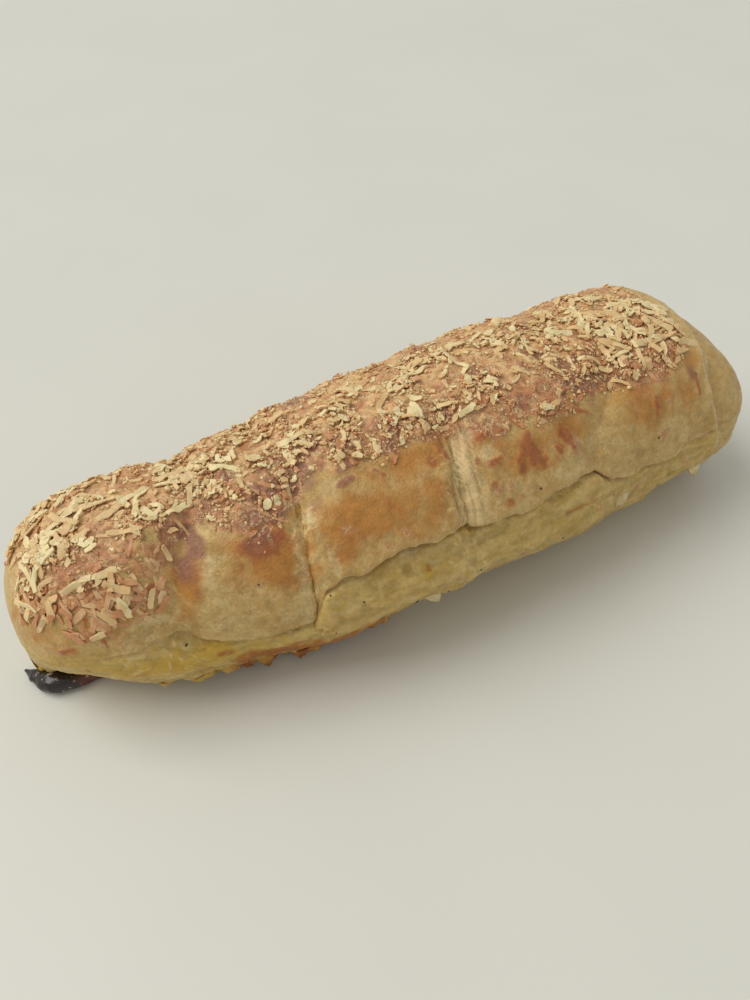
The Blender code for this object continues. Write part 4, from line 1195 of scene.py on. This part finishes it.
def skin_material():
    n = Nodes("baked_pastry")
    fine, grain, broad, blots = n.noise(0.7, 4), n.noise(1.8, 4), n.noise(9.0, 3), n.noise(3.2, 4)
    colour = n.mix(n.between(broad, 0.35, 0.65), (203, 172, 109), (190, 153, 86))
    streaks = n.noise(2.2, 3, stretch=(0.3, 1.0, 1.0))
    under = n.mix(n.between(streaks, 0.35, 0.65), (203, 173, 100), (189, 155, 77))
    colour = n.mix(n.attribute("under"), colour, under)
    colour = n.mix(n.between(grain, 0.45, 0.7, 0.0, 0.5), colour, (222, 198, 140))
    outer = n.between(n.attribute("under"), 0.0, 1.0, 1.0, 0.2)
    mottle = n.math("MULTIPLY", n.between(fine, 0.32, 0.5, 0.45, 0.0), outer)
    colour = n.mix(mottle, colour, (186, 142, 80))
    colour = n.mix(n.rough_edge(n.attribute("yellow"), grain, 0.5, 0.1, 1.0), colour, (200, 162, 60))
    gold = n.rough_edge(n.attribute("gold"), blots, 0.7, 0.1, 1.0)
    colour = n.mix(n.math("MULTIPLY", gold, 0.9), colour, (183, 121, 46))
    melted = n.noise(4.6, 5, 0.62)
    toast = n.rough_edge(n.attribute("toast"), melted, 1.2, 0.2, 0.95)
    browner = n.math("MULTIPLY_ADD", n.attribute("facing"), 0.13, melted)
    toasted = n.mix(n.between(browner, 0.42, 0.64), (230, 186, 130), (186, 124, 82))
    colour = n.mix(n.math("MULTIPLY", toast, 0.92), colour, toasted)
    red = n.attribute("red")
    rim, core = n.rough_edge(red, grain, 0.8, 0.05, 0.6), n.rough_edge(red, grain, 0.9, 0.3, 0.95)
    colour = n.mix(n.math("MULTIPLY", rim, 0.6), colour, (190, 122, 54))
    colour = n.mix(n.math("MULTIPLY", core, 0.8), colour, (152, 84, 48))
    dark = n.rough_edge(n.attribute("dark"), grain, 0.7, 0.2, 0.9)
    purple = n.mix(n.between(fine, 0.4, 0.6), (152, 100, 80), (128, 78, 60))
    colour = n.mix(n.math("MULTIPLY", dark, 0.8), colour, purple)
    lace = n.math("ABSOLUTE", n.math("SUBTRACT", n.noise(2.4, 4, 0.6), 0.5))
    strands = n.math("MULTIPLY", n.between(lace, 0.0, 0.05, 1.0, 0.0), toast)
    shown = n.math("MULTIPLY", strands, n.between(broad, 0.4, 0.6, 0.25, 0.75))
    colour = n.mix(shown, colour, (240, 212, 160))
    colour = n.mix(n.rough_edge(n.attribute("orange"), grain, 0.6, 0.2, 0.8), colour, (170, 104, 18))
    pale = n.rough_edge(n.attribute("pale"), fine, 0.7, 0.2, 0.85)
    colour = n.mix(n.math("MULTIPLY", pale, 0.62), colour, (222, 198, 146))
    # Painted shade in the relief's hollows and a slight painted highlight on its crests, with a fine random
    # tone, multiplied into the colour.
    relief_shading = n.between(n.attribute("relief_shade"), 0.1, 0.75, 0.86, 1.05)
    shade = n.math("MULTIPLY", relief_shading, n.between(fine, 0.3, 0.7, 0.95, 1.06))
    grey = n.new("CombineColor", {0: shade, 1: shade, 2: shade}).outputs[0]
    colour = n.mix(1.0, colour, grey, "MULTIPLY")
    n.set(Base_Color=colour, Roughness=n.between(blots, 0.3, 0.7, 0.34, 0.52), Specular_IOR_Level=0.45,
          Subsurface_Weight=0.2, Subsurface_Scale=0.0015, Subsurface_Radius=(1.0, 0.5, 0.25))
    height = n.math("ADD", n.noise(0.5, 4), n.math("MULTIPLY", n.noise(1.5, 4), 0.9))
    cracks = n.math("MULTIPLY", n.attribute("bare"), 0.15)
    height = n.math("MULTIPLY_ADD", n.crackle(2.6, 0.06), cracks, height)
    height = n.math("MULTIPLY_ADD", strands, 0.8, height)
    n.bump(height, 0.6, 0.32)
    return n.material


def cheese_material(name, light, deep, rough):
    n = Nodes(name)
    grain, blots = n.noise(0.6, 3), n.noise(2.4, 3)
    tone = n.math("MULTIPLY_ADD", n.math("SUBTRACT", blots, 0.5), 1.1, n.attribute("tone"))
    colour = n.mix(n.between(tone, 0.0, 1.0), light, deep)
    colour = n.mix(n.between(grain, 0.45, 0.75, 0.0, 0.3), colour, (232, 208, 160))
    n.set(Base_Color=colour, Roughness=n.between(grain, 0.3, 0.7, rough - 0.08, rough + 0.12),
          Specular_IOR_Level=0.4,
          Subsurface_Weight=0.2, Subsurface_Scale=0.001, Subsurface_Radius=(1.0, 0.55, 0.25))
    n.bump(n.math("ADD", n.noise(0.35, 3), grain), 0.3, 0.15)
    return n.material


def burnt_material():
    n = Nodes("burnt_cheese")
    grain, blots = n.noise(0.6, 3), n.noise(1.5, 3)
    colour = n.mix(n.rough_edge(n.attribute("brown"), blots, 0.9, 0.2, 0.9), (34, 25, 23), (98, 46, 30))
    colour = n.mix(n.between(n.noise(1.1, 1), 0.66, 0.71, 0.0, 0.8), colour, (178, 150, 124))
    n.set(Base_Color=colour, Roughness=n.between(blots, 0.35, 0.65, 0.1, 0.3), Specular_IOR_Level=0.6)
    n.bump(n.math("ADD", grain, blots), 0.4, 0.2)
    return n.material


def crisp_material():
    n = Nodes("crisp_edge")
    grain, blots = n.noise(0.6, 3), n.noise(2.0, 3)
    crisp = n.mix(n.between(blots, 0.35, 0.65), (184, 112, 28), (142, 80, 22))
    yellow = n.mix(n.between(blots, 0.35, 0.65), (208, 172, 74), (188, 146, 56))
    colour = n.mix(n.rough_edge(n.attribute("brown"), grain, 0.6, 0.2, 0.9), yellow, crisp)
    n.set(Base_Color=colour, Roughness=n.between(grain, 0.3, 0.7, 0.3, 0.5), Specular_IOR_Level=0.5,
          Subsurface_Weight=0.12, Subsurface_Scale=0.001)
    n.bump(n.math("ADD", grain, blots), 0.4, 0.2)
    return n.material


def film_material():
    n = Nodes("pastry_film")
    grain, blots = n.noise(0.7, 3), n.noise(2.2, 3)
    colour = n.mix(n.between(blots, 0.35, 0.65), (230, 210, 164), (216, 186, 130))
    n.set(Base_Color=colour, Roughness=n.between(grain, 0.3, 0.7, 0.4, 0.6), Specular_IOR_Level=0.4,
          Subsurface_Weight=0.2, Subsurface_Scale=0.001)
    n.bump(grain, 0.3, 0.15)
    return n.material


def speck_material():
    n = Nodes("dark_specks")
    grain = n.noise(0.2, 2)
    n.set(Base_Color=n.mix(n.between(grain, 0.4, 0.6), (52, 40, 32), (84, 62, 46)), Roughness=0.5)
    n.bump(grain, 0.3, 0.05)
    return n.material


toasted_cheese = cheese_material("toasted_cheese", (238, 204, 150), (200, 138, 92), 0.46)
creamy_cheese = cheese_material("creamy_cheese", (244, 224, 170), (226, 186, 130), 0.46)
PIECES = [
    (skin_material(), skin),
    (toasted_cheese, toasted_strips, toasted_chips, toasted_crumbs),
    (creamy_cheese, creamy_strips, creamy_chips, creamy_crumbs),
    (burnt_material(), burnt),
    (crisp_material(), crisp_edge),
    (film_material(), flakes),
    (speck_material(), specks),
]
for material, piece in [(row[0], piece) for row in PIECES for piece in row[1:]]:
    piece.data.materials.append(material)
    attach(piece, "root")
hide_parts("cheese_straw")


def build_floor():
    """A plain pale surface."""
    made = bmesh.new()
    bmesh.ops.create_grid(made, x_segments=1, y_segments=1, size=1.5)
    mesh = bpy.data.meshes.new("floor")
    made.to_mesh(mesh)
    made.free()
    floor = bpy.data.objects.new("floor", mesh)
    floor.location.z = -0.0002
    bpy.context.scene.collection.objects.link(floor)
    n = Nodes("floor")
    n.set(Base_Color=n.mix(n.between(n.noise(60.0, 2), 0.3, 0.7), (220, 220, 210), (218, 218, 208)),
          Roughness=0.45)
    mesh.materials.append(n.material)


def add_area(name, place_at, target, size, watts, colour):
    light = bpy.data.lights.new(name, "AREA")
    light.shape = "RECTANGLE"
    light.size, light.size_y = size
    light.energy = watts
    light.color = colour
    obj = bpy.data.objects.new(name, light)
    obj.location = place_at
    obj.rotation_euler = (Vector(target) - Vector(place_at)).to_track_quat("-Z", "Y").to_euler()
    bpy.context.scene.collection.objects.link(obj)


def build_light():
    add_area("window", (-2.55, 1.6, 3.75), (0, 0, 0.02), (3.6, 3.6), 148.0, (1.0, 0.98, 0.95))
    world = bpy.data.worlds.new("room")
    world.use_nodes = True
    ground = world.node_tree.nodes["Background"]
    ground.inputs["Color"].default_value = (1.0, 0.99, 0.965, 1.0)
    ground.inputs["Strength"].default_value = 0.5
    bpy.context.scene.world = world
    bpy.context.scene.view_settings.view_transform = "Standard"


# The camera's place in millimetres from the log's own origin, its turn from +Y towards +X, and its tilt down.
CAMERA_PLACE = (-70.0, -117.0, 160.6)
CAMERA_TURN = 28.26
CAMERA_TILT = 46.93
CAMERA_FOCAL_PIXELS = 883.0
FRAME_LONG_PIXELS = 1000.0


def build_camera():
    data = bpy.data.cameras.new("camera")
    data.sensor_width = 36.0
    data.lens = data.sensor_width * CAMERA_FOCAL_PIXELS / FRAME_LONG_PIXELS
    data.clip_start = 0.01
    camera = bpy.data.objects.new("camera", data)
    camera.location = (Vector(CAMERA_PLACE) + Vector((*MIDDLE_SHIFT, 0))) * MM
    turn, tilt = math.radians(CAMERA_TURN), math.radians(CAMERA_TILT)
    ahead = Vector((math.sin(turn) * math.cos(tilt), math.cos(turn) * math.cos(tilt), -math.sin(tilt)))
    camera.rotation_euler = ahead.to_track_quat("-Z", "Y").to_euler()
    bpy.context.scene.collection.objects.link(camera)
    bpy.context.scene.camera = camera


build_floor()
build_light()
build_camera()
